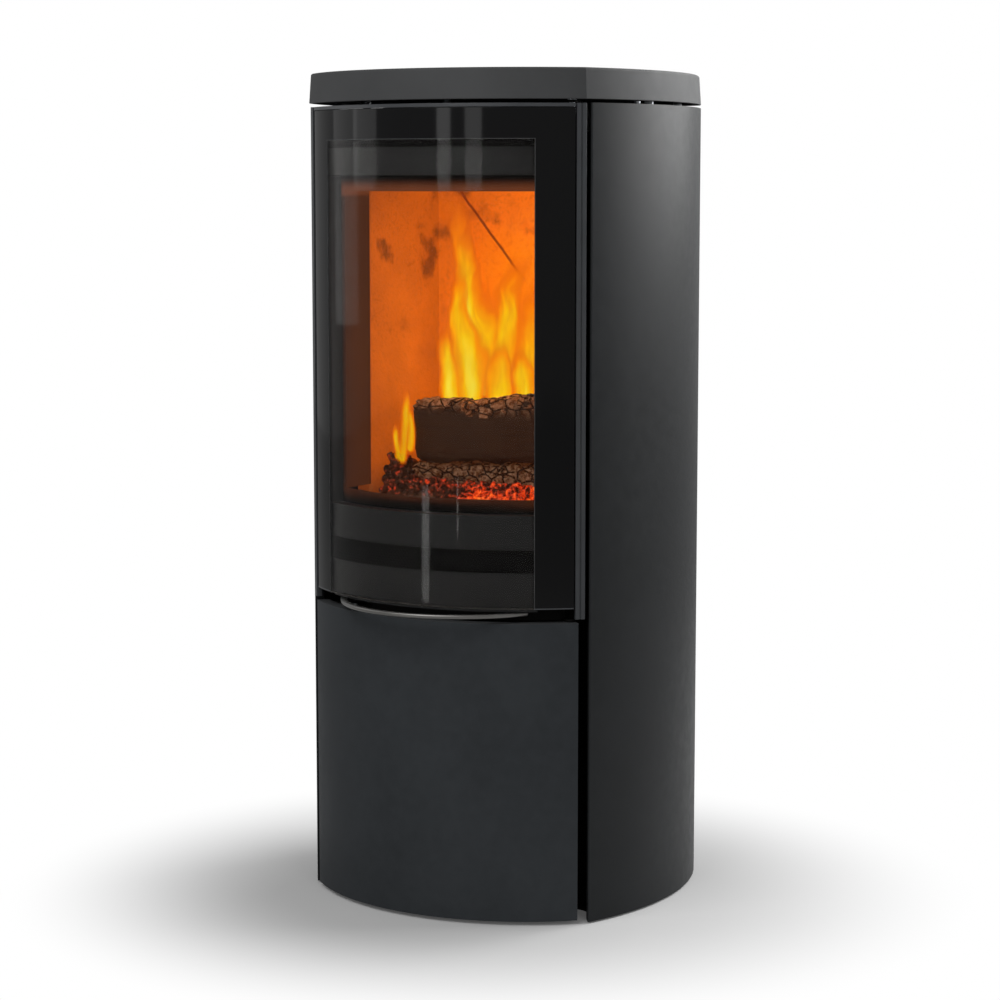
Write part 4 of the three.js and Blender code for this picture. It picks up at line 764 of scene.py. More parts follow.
@dataclass(frozen=True)
class Flame(Finish):
    """Flames drawn on a thin curtain: tongues that waver and thin out upwards, yellow at heart."""

    name: str
    tongues: tuple[Tongue, ...]
    seed: float
    body: float = 1.0

    @staticmethod
    def tongue(across: Value, height: Value, shape: Tongue) -> Value:
        """How deep a point lies in one tongue.

        Args:
            across: the point's x in millimetres.
            height: its z in millimetres.
            shape: the tongue.

        Returns:
            1 in the tongue's heart, and 0 outside it.
        """
        up = (height - shape.z) / shape.height
        t = up.held()
        waver = (t * 5.2 + shape.phase).math("SINE") * t * shape.sway
        middle = t ** 1.3 * shape.lean + waver + shape.x
        half = ((t + 0.1) ** 0.45) * ((1.0 - t) ** 0.8) * (1.62 * shape.width) + 1.5
        off = (across - middle) / half
        return (1.0 - off * off).held() * up.rise(-0.06, 0.05) * up.rise(1.0, 0.55)

    def shader(self, graph: SurfaceGraph) -> bpy.types.NodeSocket:
        """Draws the shader.

        Args:
            graph: the material's graph.

        Returns:
            A mix of clear air and glow.
        """
        x, y, z = graph.axes()
        lift = z.rise(0.6, 0.92)
        broad = graph.noise(1.0, 2.0, 0.5, graph.vector(x * 15.0, y * 6.0 + self.seed, z * 8.0))
        fine = graph.noise(1.0, 3.0, 0.6, graph.vector(x * 46.0, y * 9.0 + self.seed, z * 21.0))
        across = x / MM + (broad - 0.5) * (lift * 74.0 + 30.0) + (fine - 0.5) * (lift * 16.0 + 6.0)
        height = z / MM + (fine - 0.5) * 22.0
        inside = self.tongue(across, height, self.tongues[0])
        for shape in self.tongues[1:]:
            inside = inside.math("MAXIMUM", self.tongue(across, height, shape))
        upright = graph.vector(across * 0.034, y * 9.0 + self.seed, z * 7.0)
        streaks = graph.noise(1.0, 3.0, 0.55, upright)
        cover = (inside.rise(0.0, 1.0) * (0.5 + streaks.rise(0.3, 0.66) * 0.8) * self.body).held()
        uneven = (streaks - 0.5) * 1.3 + (broad - 0.5) * 0.5 - 0.24
        heat = (inside ** 1.2 * (1.16 - lift * 0.3) + uneven).held()
        glow = graph.ramp(heat, [
            (0.0, (0.85, 0.13, 0.001)), (0.3, (0.98, 0.22, 0.001)), (0.52, (1.0, 0.36, 0.002)),
            (0.76, (1.0, 0.58, 0.005)), (1.0, (1.0, 0.8, 0.06)),
        ])
        light = graph.socket("ShaderNodeEmission", None, {"Color": glow, "Strength": 1.0})
        air = graph.socket("ShaderNodeBsdfTransparent")
        return graph.socket("ShaderNodeMixShader", None, {0: cover, 1: air, 2: light})


# ---- Forms --------------------------------------------------------------------------------------


def arc(centre: Plan, radius: float, start: float, end: float, steps: int) -> list[Plan]:
    """Points along an arc in the plan.

    Args:
        centre: the arc's centre.
        radius: its radius.
        start: its first bearing, in degrees from straight ahead towards the stove's right.
        end: its last bearing.
        steps: how many chords it has.

    Returns:
        The points, first to last.
    """
    points = []
    for step in range(steps + 1):
        bearing = math.radians(start + (end - start) * step / steps)
        across, ahead = radius * math.sin(bearing), radius * math.cos(bearing)
        points.append((centre[0] + across, centre[1] - ahead))
    return points


def squared(part: float, power: float) -> float:
    """A sine or cosine raised to a power below 1, which turns a circle into a rounded square."""
    return math.copysign(abs(part) ** power, part)


def bell(distance: float, width: float) -> float:
    """A bell curve: 1 at no distance, and a third at its width."""
    return math.exp(-((distance / width) ** 2))


def mirrored(points: Sequence[Plan]) -> list[Plan]:
    """The points across the middle line, in reverse order."""
    return [(-x, y) for x, y in reversed(points)]


def shown(name: str, data: bpy.types.ID) -> bpy.types.Object:
    """Makes an object and links it into the scene.

    Args:
        name: the object's name.
        data: its mesh, light or camera.

    Returns:
        The object.
    """
    made = bpy.data.objects.new(name, data)
    bpy.context.scene.collection.objects.link(made)
    return made


@dataclass
class Form:
    """Vertices in the plan's millimetres, and faces."""

    points: list[Point] = field(default_factory=list)
    faces: list[tuple[int, ...]] = field(default_factory=list)

    def add(self, other: "Form") -> "Form":
        """Takes in another form.

        Args:
            other: the form to add.

        Returns:
            This form.
        """
        start = len(self.points)
        self.points += other.points
        self.faces += [tuple(i + start for i in face) for face in other.faces]
        return self

    @classmethod
    def loft(cls, rings: Sequence[Sequence[Point]], open_ends: bool = False) -> "Form":
        """A skin over rings with as many points each.

        Args:
            rings: the rings, in order.
            open_ends: whether the first and last ring join each other and need no lids.

        Returns:
            The form.
        """
        count = len(rings[0])
        points = [point for ring in rings for point in ring]
        faces = []
        last = len(rings) if open_ends else len(rings) - 1
        for level in range(last):
            here, above = level * count, (level + 1) % len(rings) * count
            for i in range(count):
                j = (i + 1) % count
                faces.append((here + i, here + j, above + j, above + i))
        if not open_ends:
            faces.append(tuple(reversed(range(count))))
            faces.append(tuple(range(last * count, last * count + count)))
        return cls(points, faces)

    @classmethod
    def prism(cls, outline: Sequence[Plan], bottom: float, top: float) -> "Form":
        """An upright prism over a plan outline."""
        return cls.loft([[(x, y, z) for x, y in outline] for z in (bottom, top)])

    @classmethod
    def swept_section(cls, section: Sequence[Plan], centre: Plan, start: float, end: float,
                      steps: int) -> "Form":
        """A section carried round an upright axis.

        Args:
            section: its corners, as pairs of radius and height.
            centre: the axis's place.
            start: the first bearing, in degrees.
            end: the last bearing.
            steps: how many chords the way has.

        Returns:
            The form, with a lid at each end.
        """
        rings = []
        for step in range(steps + 1):
            turn = start + (end - start) * step / steps
            rings.append([(*arc(centre, radius, turn, turn, 1)[0], z) for radius, z in section])
        return cls.loft(rings)

    @classmethod
    def turned(cls, profile: Sequence[Plan], centre: Point, axis: Vector,
               steps: int = 40) -> "Form":
        """A closed profile turned about an axis.

        Args:
            profile: its corners, as pairs of radius and distance along the axis.
            centre: the point that the distances start from.
            axis: the axis's direction.
            steps: how many sides the form has.

        Returns:
            The form.
        """
        along = axis.normalized()
        side = along.orthogonal().normalized()
        across = along.cross(side)
        rings = []
        for step in range(steps):
            turn = 2 * math.pi * step / steps
            out = side * math.cos(turn) + across * math.sin(turn)
            ring = [Vector(centre) + out * radius + along * run for radius, run in profile]
            rings.append([tuple(point) for point in ring])
        return cls.loft(rings, open_ends=True)

    def place(self, name: str) -> bpy.types.Object:
        """Makes an object of the form, in metres in the model's frame.

        Args:
            name: the object's name.

        Returns:
            The object, with its faces outwards.
        """
        mesh = bpy.data.meshes.new(name)
        places = [(x * MM, (y + PLAN_SHIFT) * MM, z * MM) for x, y, z in self.points]
        mesh.from_pydata(places, [], self.faces)
        made = shown(name, mesh)
        tidy(mesh)
        return made


def tidy(mesh: bpy.types.Mesh, distance: float = 1e-6) -> None:
    """Merges doubled vertices and turns the faces outwards.

    Args:
        mesh: the mesh.
        distance: how near vertices are merged, in metres.
    """
    work = bmesh.new()
    work.from_mesh(mesh)
    bmesh.ops.remove_doubles(work, verts=work.verts, dist=distance)
    bmesh.ops.recalc_face_normals(work, faces=work.faces)
    work.to_mesh(mesh)
    work.free()


def bent_sheet(path: Sequence[Plan], thickness: float, bottom: float, top: float) -> Form:
    """A plan path given a thickness to its left, with mitred bends.

    Args:
        path: the sheet's outer face in the plan.
        thickness: the sheet's thickness.
        bottom: its lower edge.
        top: its upper edge.

    Returns:
        The sheet.
    """
    inner = []
    for i, here in enumerate(path):
        point = Vector(here)
        before, after = Vector(path[max(i - 1, 0)]), Vector(path[min(i + 1, len(path) - 1)])
        arriving = (point - before if i else after - point).normalized()
        leaving = (after - point if i < len(path) - 1 else point - before).normalized()
        mean = (arriving + leaving).normalized()
        reach = thickness / mean.dot(arriving)
        inner.append((point.x - mean.y * reach, point.y + mean.x * reach))
    return Form.prism([*path, *reversed(inner)], bottom, top)


def smoothed(made: bpy.types.Object, angle: float = 28.0, bevel: float = 0.0,
             segments: int = 3) -> None:
    """Rounds an object's sharp edges and shades it smooth between them.

    Args:
        made: the object.
        angle: edges sharper than this many degrees stay sharp.
        bevel: the width of the rounding in millimetres, or 0 for none.
        segments: the steps of the rounding.
    """
    if bevel:
        modifier = made.modifiers.new("edge", "BEVEL")
        modifier.width = bevel * MM
        modifier.segments = segments
        modifier.limit_method = "ANGLE"
        modifier.angle_limit = math.radians(BEVEL_FROM)
        modifier.harden_normals = False
        bake_modifiers(made)
    made.data.shade_smooth()
    made.data.set_sharp_from_angle(angle=math.radians(angle))
    if bevel:
        modifier = made.modifiers.new("normals", "WEIGHTED_NORMAL")
        modifier.keep_sharp = True
        bake_modifiers(made)


def bake_modifiers(made: bpy.types.Object) -> None:
    """Replaces an object's mesh by what its modifiers make of it, and removes them.

    Args:
        made: the object.
    """
    graph = bpy.context.evaluated_depsgraph_get()
    graph.update()
    mesh = bpy.data.meshes.new_from_object(
        made.evaluated_get(graph), preserve_all_data_layers=True, depsgraph=graph)
    made.modifiers.clear()
    made.data = mesh


class GeometryGraph(Graph):
    """A Geometry Nodes tree with named inputs."""

    def __init__(self, name: str) -> None:
        """Makes a tree that takes a geometry and gives one.

        Args:
            name: the tree's name.
        """
        super().__init__(bpy.data.node_groups.new(name, "GeometryNodeTree"))
        self.tree.is_modifier = True
        for way in ("INPUT", "OUTPUT"):
            self.tree.interface.new_socket("Geometry", in_out=way, socket_type="NodeSocketGeometry")
        self.entry = self.node("NodeGroupInput")
        self.exit = self.node("NodeGroupOutput")
        self.identifiers: dict[str, str] = {}

    def input(self, name: str, kind: str = "Float") -> bpy.types.NodeSocket:
        """Adds a named input.

        Args:
            name: the input's name.
            kind: the type of its socket.

        Returns:
            The socket that gives its value.
        """
        socket = self.tree.interface.new_socket(
            name, in_out="INPUT", socket_type=f"NodeSocket{kind}")
        self.identifiers[name] = socket.identifier
        return self.entry.outputs[name]

    def random(self, low: Point, high: Point, seed: bpy.types.NodeSocket) -> bpy.types.NodeSocket:
        """A random vector for each element."""
        sockets = {0: low, 1: high, "Seed": seed}
        return self.socket("FunctionNodeRandomValue", {"data_type": "FLOAT_VECTOR"}, sockets)

    def vectors(self, operation: str, sockets: dict) -> bpy.types.NodeSocket:
        """The result of a vector operation."""
        return self.socket("ShaderNodeVectorMath", {"operation": operation}, sockets)

    def close(self, geometry: bpy.types.NodeSocket, material: bpy.types.Material) -> None:
        """Makes the instances real, sets their material and links them to the output.

        Args:
            geometry: the geometry that the tree has made.
            material: its material.
        """
        real = self.socket("GeometryNodeRealizeInstances", None, {0: geometry})
        shaped = self.socket("GeometryNodeSetMaterial", None,
                             {"Geometry": real, "Material": material})
        self.tree.links.new(shaped, self.exit.inputs[0])

    def run(self, made: bpy.types.Object, values: dict[str, float | int]) -> None:
        """Runs the tree on an object and keeps the mesh that it gives.

        Args:
            made: the object.
            values: the tree's inputs, by name.
        """
        modifier = made.modifiers.new(self.tree.name, "NODES")
        modifier.node_group = self.tree
        for name, given in values.items():
            modifier[self.identifiers[name]] = given
        bake_modifiers(made)
        log.info("%s: %d vertices from %s", made.name, len(made.data.vertices), self.tree.name)


@dataclass(frozen=True)
class Strewn:
    """Lumps strewn evenly over a surface: rounded blocks whose form each differs a little."""

    name: str
    size: Point
    spacing: float
    spread: float
    roundness: float
    roughness: float
    tumble: float
    seed: int
    facing: float = -2.0

    def lump(self, graph: GeometryGraph) -> bpy.types.NodeSocket:
        """A block, part of the way towards an egg.

        Args:
            graph: the tree.

        Returns:
            The lump's mesh.
        """
        block = graph.socket("GeometryNodeMeshCube", None, {
            "Size": tuple(side * MM for side in self.size),
            "Vertices X": 5, "Vertices Y": 5, "Vertices Z": 4,
        })
        place = graph.socket("GeometryNodeInputPosition")
        unit = graph.vectors("DIVIDE", {
            0: place, 1: tuple(side * MM / 2 for side in self.size),
        })
        ball = graph.vectors("NORMALIZE", {0: unit})
        egg = graph.vectors("MULTIPLY", {
            0: ball, 1: tuple(side * MM * 0.6 for side in self.size),
        })
        between = graph.socket("ShaderNodeMix", {"data_type": "VECTOR"},
                               {0: self.roundness, 4: place, 5: egg}, output=1)
        return graph.socket("GeometryNodeSetPosition", None,
                            {"Geometry": block, "Position": between})

    def strew(self, base: bpy.types.Object, material: bpy.types.Material) -> None:
        """Puts the lumps in the place of a base surface.

        Args:
            base: the object whose faces carry the lumps.
            material: the lumps' material.
        """
        graph = GeometryGraph(self.name)
        spacing, size = graph.input("Spacing"), graph.input("Size")
        seed, rough = graph.input("Seed", "Int"), graph.input("Roughness")
        facing = graph.input("Facing")
        normal = graph.socket("GeometryNodeInputNormal")
        upward = graph.socket("ShaderNodeSeparateXYZ", None, {0: normal}, output=2)
        chosen = graph.socket("FunctionNodeCompare", {"operation": "GREATER_THAN"},
                              {0: upward, 1: facing})
        poisson = {"distribute_method": "POISSON"}
        spots = graph.node("GeometryNodeDistributePointsOnFaces", poisson, {
            "Mesh": graph.entry.outputs[0], "Selection": chosen, "Distance Min": spacing,
            "Density Max": 4e5, "Seed": seed,
        })
        turn = self.tumble
        spin = graph.random((-turn, -turn, -turn), (turn, turn, turn), seed)
        turned = graph.socket("FunctionNodeRotateRotation", {"rotation_space": "LOCAL"}, {
            0: spots.outputs["Rotation"], 1: spin,
        })
        low = 1 - self.spread
        scale = graph.vectors("SCALE", {
            0: graph.random((low, low, low), (1 + self.spread,) * 3, seed), "Scale": size,
        })
        lumps = graph.socket("GeometryNodeInstanceOnPoints", None, {
            "Points": spots.outputs[0], "Instance": self.lump(graph),
            "Rotation": turned, "Scale": scale,
        })
        real = graph.socket("GeometryNodeRealizeInstances", None, {0: lumps})
        place = graph.socket("GeometryNodeInputPosition")
        waver = graph.socket("ShaderNodeTexNoise", None,
                             {"Vector": place, "Scale": 160.0, "Detail": 2.0}, output=1)
        centred = graph.vectors("SUBTRACT", {0: waver, 1: (0.5, 0.5, 0.5)})
        push = graph.vectors("SCALE", {0: centred, "Scale": rough})
        moved = graph.socket("GeometryNodeSetPosition", None, {"Geometry": real, "Offset": push})
        graph.close(moved, material)
        graph.run(base, {
            "Spacing": self.spacing * MM, "Size": 1.0, "Seed": self.seed,
            "Roughness": self.roughness * MM, "Facing": self.facing,
        })
        tidy(base.data, 1e-7)


# ---- The workshop -------------------------------------------------------------------------------


class Workshop:
    """Keeps the finishes and puts each piece on its body."""

    def __init__(self) -> None:
        """Starts with no finish made."""
        self.made: dict[str, bpy.types.Material] = {}

    def material(self, finish: Finish) -> bpy.types.Material:
        """The finish's material, made once.

        Args:
            finish: the finish.

        Returns:
            Its material.
        """
        if finish.name not in self.made:
            self.made[finish.name] = finish.make()
        return self.made[finish.name]

    def fit(self, made: bpy.types.Object, body: Body, finish: Finish,
            replaces: Iterable[str] = ()) -> bpy.types.Object:
        """Gives a finished piece its material and its body.

        Args:
            made: the piece.
            body: the body that carries it.
            finish: its finish.
            replaces: the CAD nodes that it stands for.

        Returns:
            The piece.
        """
        made.data.materials.clear()
        made.data.materials.append(self.material(finish))
        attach(made, body.value)
        if replaces:
            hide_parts(*replaces)
        log.info("%s rides on %s, %d faces", made.name, body.value, len(made.data.polygons))
        return made

    def dress(self, finish: Finish, *nodes: str) -> None:
        """Gives CAD nodes that keep their own mesh a finish.

        Args:
            finish: the finish.
            nodes: the nodes' names.
        """
        for name in nodes:
            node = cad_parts[name]
            node.data.materials.clear()
            node.data.materials.append(self.material(finish))
            log.info("%s keeps its mesh, finished in %s", name, finish.name)

    def refine(self, node: str, body: Body, finish: Finish,
               bevel: float = 0.5) -> bpy.types.Object:
        """Puts a smooth copy with rounded edges in a CAD node's place.

        Args:
            node: the CAD node.
            body: the body that carries it.
            finish: its finish.
            bevel: the rounding of its edges in millimetres.

        Returns:
            The copy.
        """
        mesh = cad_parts[node].data.copy()
        if "custom_normal" in mesh.attributes:
            mesh.attributes.remove(mesh.attributes["custom_normal"])
        work = bmesh.new()
        work.from_mesh(mesh)
        bmesh.ops.remove_doubles(work, verts=work.verts, dist=2e-6)
        bmesh.ops.dissolve_limit(work, angle_limit=math.radians(FLAT_WITHIN), verts=work.verts,
                                 edges=work.edges, use_dissolve_boundaries=False)
        work.to_mesh(mesh)
        work.free()
        made = shown(f"{node}_finished", mesh)
        smoothed(made, SHARP_OVER, bevel, 2)
        return self.fit(made, body, finish, [node])


# Side panels and back: the stove's one black paint made darker, as painted shade.
SHADED_PANEL_PAINT = StovePaint("shaded_panel_paint", (0.0098, 0.0108, 0.0116), 0.43, 0.15)
# Lower door: the same black paint made lighter, as painted light.
LIT_DOOR_PAINT = StovePaint("lit_door_paint", (0.0252, 0.0278, 0.0305), 0.46, 0.06)
TOP_PAINT = StovePaint("top_paint", (0.03, 0.031, 0.032), 0.66, 0.3, 1100.0, 0.0001, 0.12)
FRAME_PAINT = StovePaint("frame_paint", (0.0042, 0.0042, 0.0044), 0.5, 0.3, 1300.0, 0.00005, 0.05)
STRIP_PAINT = StovePaint("strip_paint", (0.03, 0.032, 0.035), 0.36, 0.3, 1700.0, 0.00003, 0.05)
INNER = SootedSteel()
FIRELIT = SootedSteel("firelit_steel", firelit=True)
IRON = CastIron()
ZINC = Zinc()
ROPE = FibreRope()
WOOL = StovePaint("roof_wool", (0.03, 0.029, 0.027), 0.95, 0.05, 700.0, 0.0004, 0.0)


# ---- Casing -------------------------------------------------------------------------------------


@dataclass
class CasingPlan:
    """The casing seen from above: bowed front, curved sides and rounded rear corners."""

    overhang: float = 3.5
    side_radius: float = 405.0
    side_centre: Plan = (-157.0, -52.0)
    rear_radius: float = 40.0
    back_y: float = 150.0

    def front_corner(self, front_radius: float, side_radius: float) -> Plan:
        """Where a circle about the front's centre crosses the right side.

        Args:
            front_radius: the circle's radius.
            side_radius: the radius of the side.

        Returns:
            The corner.
        """
        away = math.hypot(*self.side_centre)
        along = (front_radius**2 - side_radius**2 + away**2) / (2 * away)
        across = math.sqrt(front_radius**2 - along**2)
        ux, uy = self.side_centre[0] / away, self.side_centre[1] / away
        return along * ux - across * uy, along * uy + across * ux

    def side(self, offset: float, start_y: float) -> list[Plan]:
        """The right side and rear corner, from a start on the side arc to the flat back.

        Args:
            offset: how far outside the outer face the line lies.
            start_y: the y of its first point.

        Returns:
            The points, front to back.
        """
        radius = self.side_radius + offset
        reach = self.side_radius - self.rear_radius
        corner_y = self.back_y - self.rear_radius
        turn = math.degrees(math.asin((corner_y - self.side_centre[1]) / reach))
        corner_x = self.side_centre[0] + reach * math.cos(math.radians(turn))
        start = math.degrees(math.asin((start_y - self.side_centre[1]) / radius))
        flank = arc(self.side_centre, radius, start + 90, turn + 90, 40)
        corner = arc((corner_x, corner_y), self.rear_radius + offset, turn + 90, 180, 14)
        return [*flank, *corner[1:]]

    def outline(self, offset: float) -> list[Plan]:
        """The whole plan.

        Args:
            offset: how far outside the outer faces it lies.

        Returns:
            The points, anticlockwise from the front left corner.
        """
        radius = FRONT_RADIUS + self.overhang + offset
        corner = self.front_corner(radius, self.side_radius + offset)
        bearing = math.degrees(math.atan2(corner[0], -corner[1]))
        right = self.side(offset, corner[1])
        return [*arc((0, 0), radius, -bearing, bearing, 90), *right[1:], *mirrored(right)[:-1]]


@dataclass
class Casing:
    """Top plate, side panels and back."""

    plan: CasingPlan = field(default_factory=CasingPlan)
    top: float = 1120.0
    plate_bottom: float = 1080.0
    ceiling: float = 1112.0
    rim: float = 12.0
    draft: float = 2.4
    edge_round: float = 3.6
    panel_bottom: float = 2.0
    panel_top: float = 1075.5
    panel_front_y: float = -209.0
    fold: float = 14.0
    fold_round: float = 3.2
    sheet: float = 2.0
    inset: float = -0.15
    stud: tuple[Plan, ...] = (
        (0.4, 0.0), (5.0, 0.0), (5.0, 2.4), (2.6, 3.2), (2.6, 35.6),
        (3.9, 36.0), (4.2, 36.6), (4.2, 39.7), (3.8, 40.2), (0.4, 40.2),
    )
    stud_place: Point = (236.0, -121.0, 1039.0)
    screw_edge: float = 152.0
    screw_heights: tuple[float, ...] = (36.0, 176.0, 336.0, 496.0, 656.0, 816.0, 1048.0)

    @staticmethod
    def screw_tree(material: bpy.types.Material) -> "GeometryGraph":
        """A tree that puts a screw with a flange and a domed head on each point, facing back.

        Args:
            material: the screws' material.

        Returns:
            The tree, whose inputs are the screw's size and how much the heads' turn varies.
        """
        graph = GeometryGraph("screw_row")
        size, turn, seed = graph.input("Size"), graph.input("Turn"), graph.input("Seed", "Int")
        flange = graph.socket("GeometryNodeMeshCylinder", None, {
            "Vertices": 28, "Radius": 4.8 * MM, "Depth": 0.9 * MM}, output="Mesh")
        dome = graph.socket("GeometryNodeMeshUVSphere", None,
                            {"Segments": 28, "Rings": 14, "Radius": 3.4 * MM})
        flat = graph.socket("GeometryNodeTransform", None, {
            "Geometry": dome, "Translation": (0.0, 0.0, 0.4 * MM), "Scale": (1.0, 1.0, 0.5)})
        blade = graph.socket("GeometryNodeMeshCube", None, {"Size": (4.2 * MM, 0.9 * MM, 0.5 * MM)})
        across = graph.socket("GeometryNodeTransform", None, {
            "Geometry": blade, "Translation": (0.0, 0.0, 1.95 * MM)})
        join = graph.node("GeometryNodeJoinGeometry")
        for part in (flange, flat, across):
            graph.tree.links.new(part, join.inputs[0])
        face_back = graph.socket("GeometryNodeTransform", None, {
            "Geometry": join.outputs[0], "Rotation": (-math.pi / 2, 0.0, 0.0)})
        spin = graph.socket("FunctionNodeRandomValue", {"data_type": "FLOAT"},
                            {2: 0.0, 3: turn, "Seed": seed}, output=1)
        rotation = graph.socket("ShaderNodeCombineXYZ", None, {1: spin})
        placed = graph.socket("GeometryNodeInstanceOnPoints", None, {
            "Points": graph.entry.outputs[0], "Instance": face_back,
            "Rotation": rotation, "Scale": size,
        })
        graph.close(placed, material)
        return graph

    def back_screws(self, material: bpy.types.Material) -> bpy.types.Object:
        """The screws down both edges of the back panel.

        Args:
            material: the screws' material.

        Returns:
            The screws as one piece.
        """
        y = (self.plan.back_y + 0.5 + PLAN_SHIFT) * MM
        columns = (-self.screw_edge, self.screw_edge)
        spots = [(x * MM, y, z * MM) for x in columns for z in self.screw_heights]
        mesh = bpy.data.meshes.new("back_screws")
        mesh.from_pydata(spots, [], [])
        made = shown("back_screws", mesh)
        self.screw_tree(material).run(made, {"Size": 1.0, "Turn": 3.0, "Seed": 4})
        tidy(made.data)
        smoothed(made, 35.0)
        return made

    def top_plate(self) -> Form:
        """The cast plate: a tray turned over, its sides drafted and its upper edge rounded.

        Returns:
            The plate, lofted from the ceiling of its hollow, round the rim and up over the edge.
        """
        rim, bottom = -self.rim, self.plate_bottom
        levels = [(rim, self.ceiling), (rim, bottom + 0.8), (rim + 0.8, bottom), (-0.6, bottom),
                  (0.0, bottom + 0.6)]
        shoulder = self.top - self.edge_round
        for step in range(7):
            turn = math.radians(90 * step / 6)
            levels.append((-self.draft - self.edge_round * (1 - math.cos(turn)),
                           shoulder + self.edge_round * math.sin(turn)))
        return Form.loft([[(x, y, z) for x, y in self.plan.outline(offset + self.inset)]
                          for offset, z in levels])

    def side_panel(self) -> Form:
        """The right panel: one rolled sheet with a rounded fold at its front edge.

        Returns:
            The panel.
        """
        outline = self.plan.side(self.inset, self.panel_front_y)
        tip = Vector(outline[0])
        inward = Vector((-0.6, 0.8))
        along = (Vector(outline[1]) - tip).normalized()
        start, end = tip + inward * self.fold_round, tip + along * self.fold_round
        rounding = []
        for step in range(9):
            t = step / 8
            rounding.append(tuple(start * (1 - t) ** 2 + tip * (2 * t * (1 - t)) + end * t**2))
        past = [point for point in outline if (Vector(point) - tip).length > self.fold_round * 1.3]
        return bent_sheet([tuple(tip + inward * self.fold), *rounding, *past], self.sheet,
                          self.panel_bottom, self.panel_top)

    def build(self, shop: Workshop) -> None:
        """Makes and dresses the casing.

        Args:
            shop: the workshop.
        """
        plate = self.top_plate().place("top_plate_cast")
        smoothed(plate, 16.0)
        shop.fit(plate, Body.STOVE, TOP_PAINT, ["top_plate"])
        right = self.side_panel()
        left = Form([(-x, y, z) for x, y, z in right.points], right.faces)
        for side, form in (("right", right), ("left", left)):
            panel = form.place(f"side_panel_{side}_rolled")
            smoothed(panel, 24.0, 0.35, 2)
            shop.fit(panel, Body.STOVE, SHADED_PANEL_PAINT, [f"side_panel_{side}"])
        x, y, z = self.stud_place
        for side, place in (("right", (x, y, z)), ("left", (-x, y, z))):
            stud = Form.turned(self.stud, place, Vector((0, 0, 1)), 24).place(f"rest_stud_{side}")
            smoothed(stud, 30.0)
            shop.fit(stud, Body.STOVE, ZINC)
        shop.refine("back_panel", Body.STOVE, SHADED_PANEL_PAINT, 0.35)
        screws = self.back_screws(shop.material(ZINC))
        shop.fit(screws, Body.STOVE, ZINC)
        shop.dress(INNER, "side_bracket_right", "side_bracket_left")
        for number in range(1, 5):
            shop.refine(f"top_spacer_{number}", Body.STOVE, ZINC, 0.3)


# ---- Doors --------------------------------------------------------------------------------------


@dataclass
class GlassDoor:
    """Bowed glass in a black frame, with edge strips, seals, catch and handle bracket."""

    bearing: float = 42.1
    bottom: float = 422.0
    top: float = 1070.0
    thickness: float = 4.0

    def pane(self) -> Form:
        """The bowed pane.

        Returns:
            The pane.
        """
        inner, outer = FRONT_RADIUS - self.thickness, FRONT_RADIUS
        section = [(inner, self.bottom), (outer, self.bottom), (outer, self.top), (inner, self.top)]
        return Form.swept_section(section, (0, 0), -self.bearing, self.bearing, 96)

    def build(self, shop: Workshop) -> None:
        """Makes and dresses the door.

        Args:
            shop: the workshop.
        """
        pane = self.pane().place("door_glass_pane")
        smoothed(pane, 28.0, 0.8, 3)
        shop.fit(pane, Body.GLASS_DOOR, StoveGlass(), ["door_glass"])
        shop.refine("door_frame", Body.GLASS_DOOR, FRAME_PAINT, 0.4)
        for side in ("right", "left", "top"):
            shop.refine(f"edge_strip_{side}", Body.GLASS_DOOR, STRIP_PAINT, 0.35)
        shop.refine("handle_bracket", Body.GLASS_DOOR, FRAME_PAINT, 0.3)
        for node in ("hinge_pin_top", "catch_striker"):
            shop.refine(node, Body.GLASS_DOOR, ZINC, 0.3)
        shop.dress(ROPE, "glass_tape", "door_rope")


@dataclass
class Handle:
    """The slim steel bow under the glass."""

    radius: float = 162.7
    depth: float = 8.0
    height: float = 6.0
    bottom: float = 412.0
    front_y: float = -338.0
    reach: float = 65.0
    end_round: float = 3.0
    squareness: float = 0.62

    def bow(self) -> Form:
        """The bow: a rounded section carried along its arc, its ends drawn in.

        Returns:
            The bow.
        """
        centre = (0.0, self.front_y + self.radius)
        middle = self.radius - self.depth / 2
        rings = []
        steps, around = 90, 20
        for step in range(steps + 1):
            bearing = self.reach * (2 * step / steps - 1)
            left = math.radians(self.reach - abs(bearing)) * middle
            inwards = 1 - min(left, self.end_round) / self.end_round
            size = min(1.0, math.sqrt(max(0.02, 1 - inwards**2)))
            ring = []
            for turn in range(around):
                angle = 2 * math.pi * turn / around
                out = squared(math.cos(angle), self.squareness) * self.depth / 2 * size
                up = squared(math.sin(angle), self.squareness) * self.height / 2 * size
                x, y = arc(centre, middle + out, bearing, bearing, 1)[0]
                ring.append((x, y, self.bottom + self.height / 2 + up))
            rings.append(ring)
        return Form.loft(rings)

    def build(self, shop: Workshop) -> None:
        """Makes and dresses the handle.

        Args:
            shop: the workshop.
        """
        bow = self.bow().place("door_handle_bow")
        smoothed(bow, 40.0)
        finish = BrushedSteel("handle_steel", self.front_y + self.radius + PLAN_SHIFT)
        shop.fit(bow, Body.GLASS_DOOR, finish, ["door_handle"])


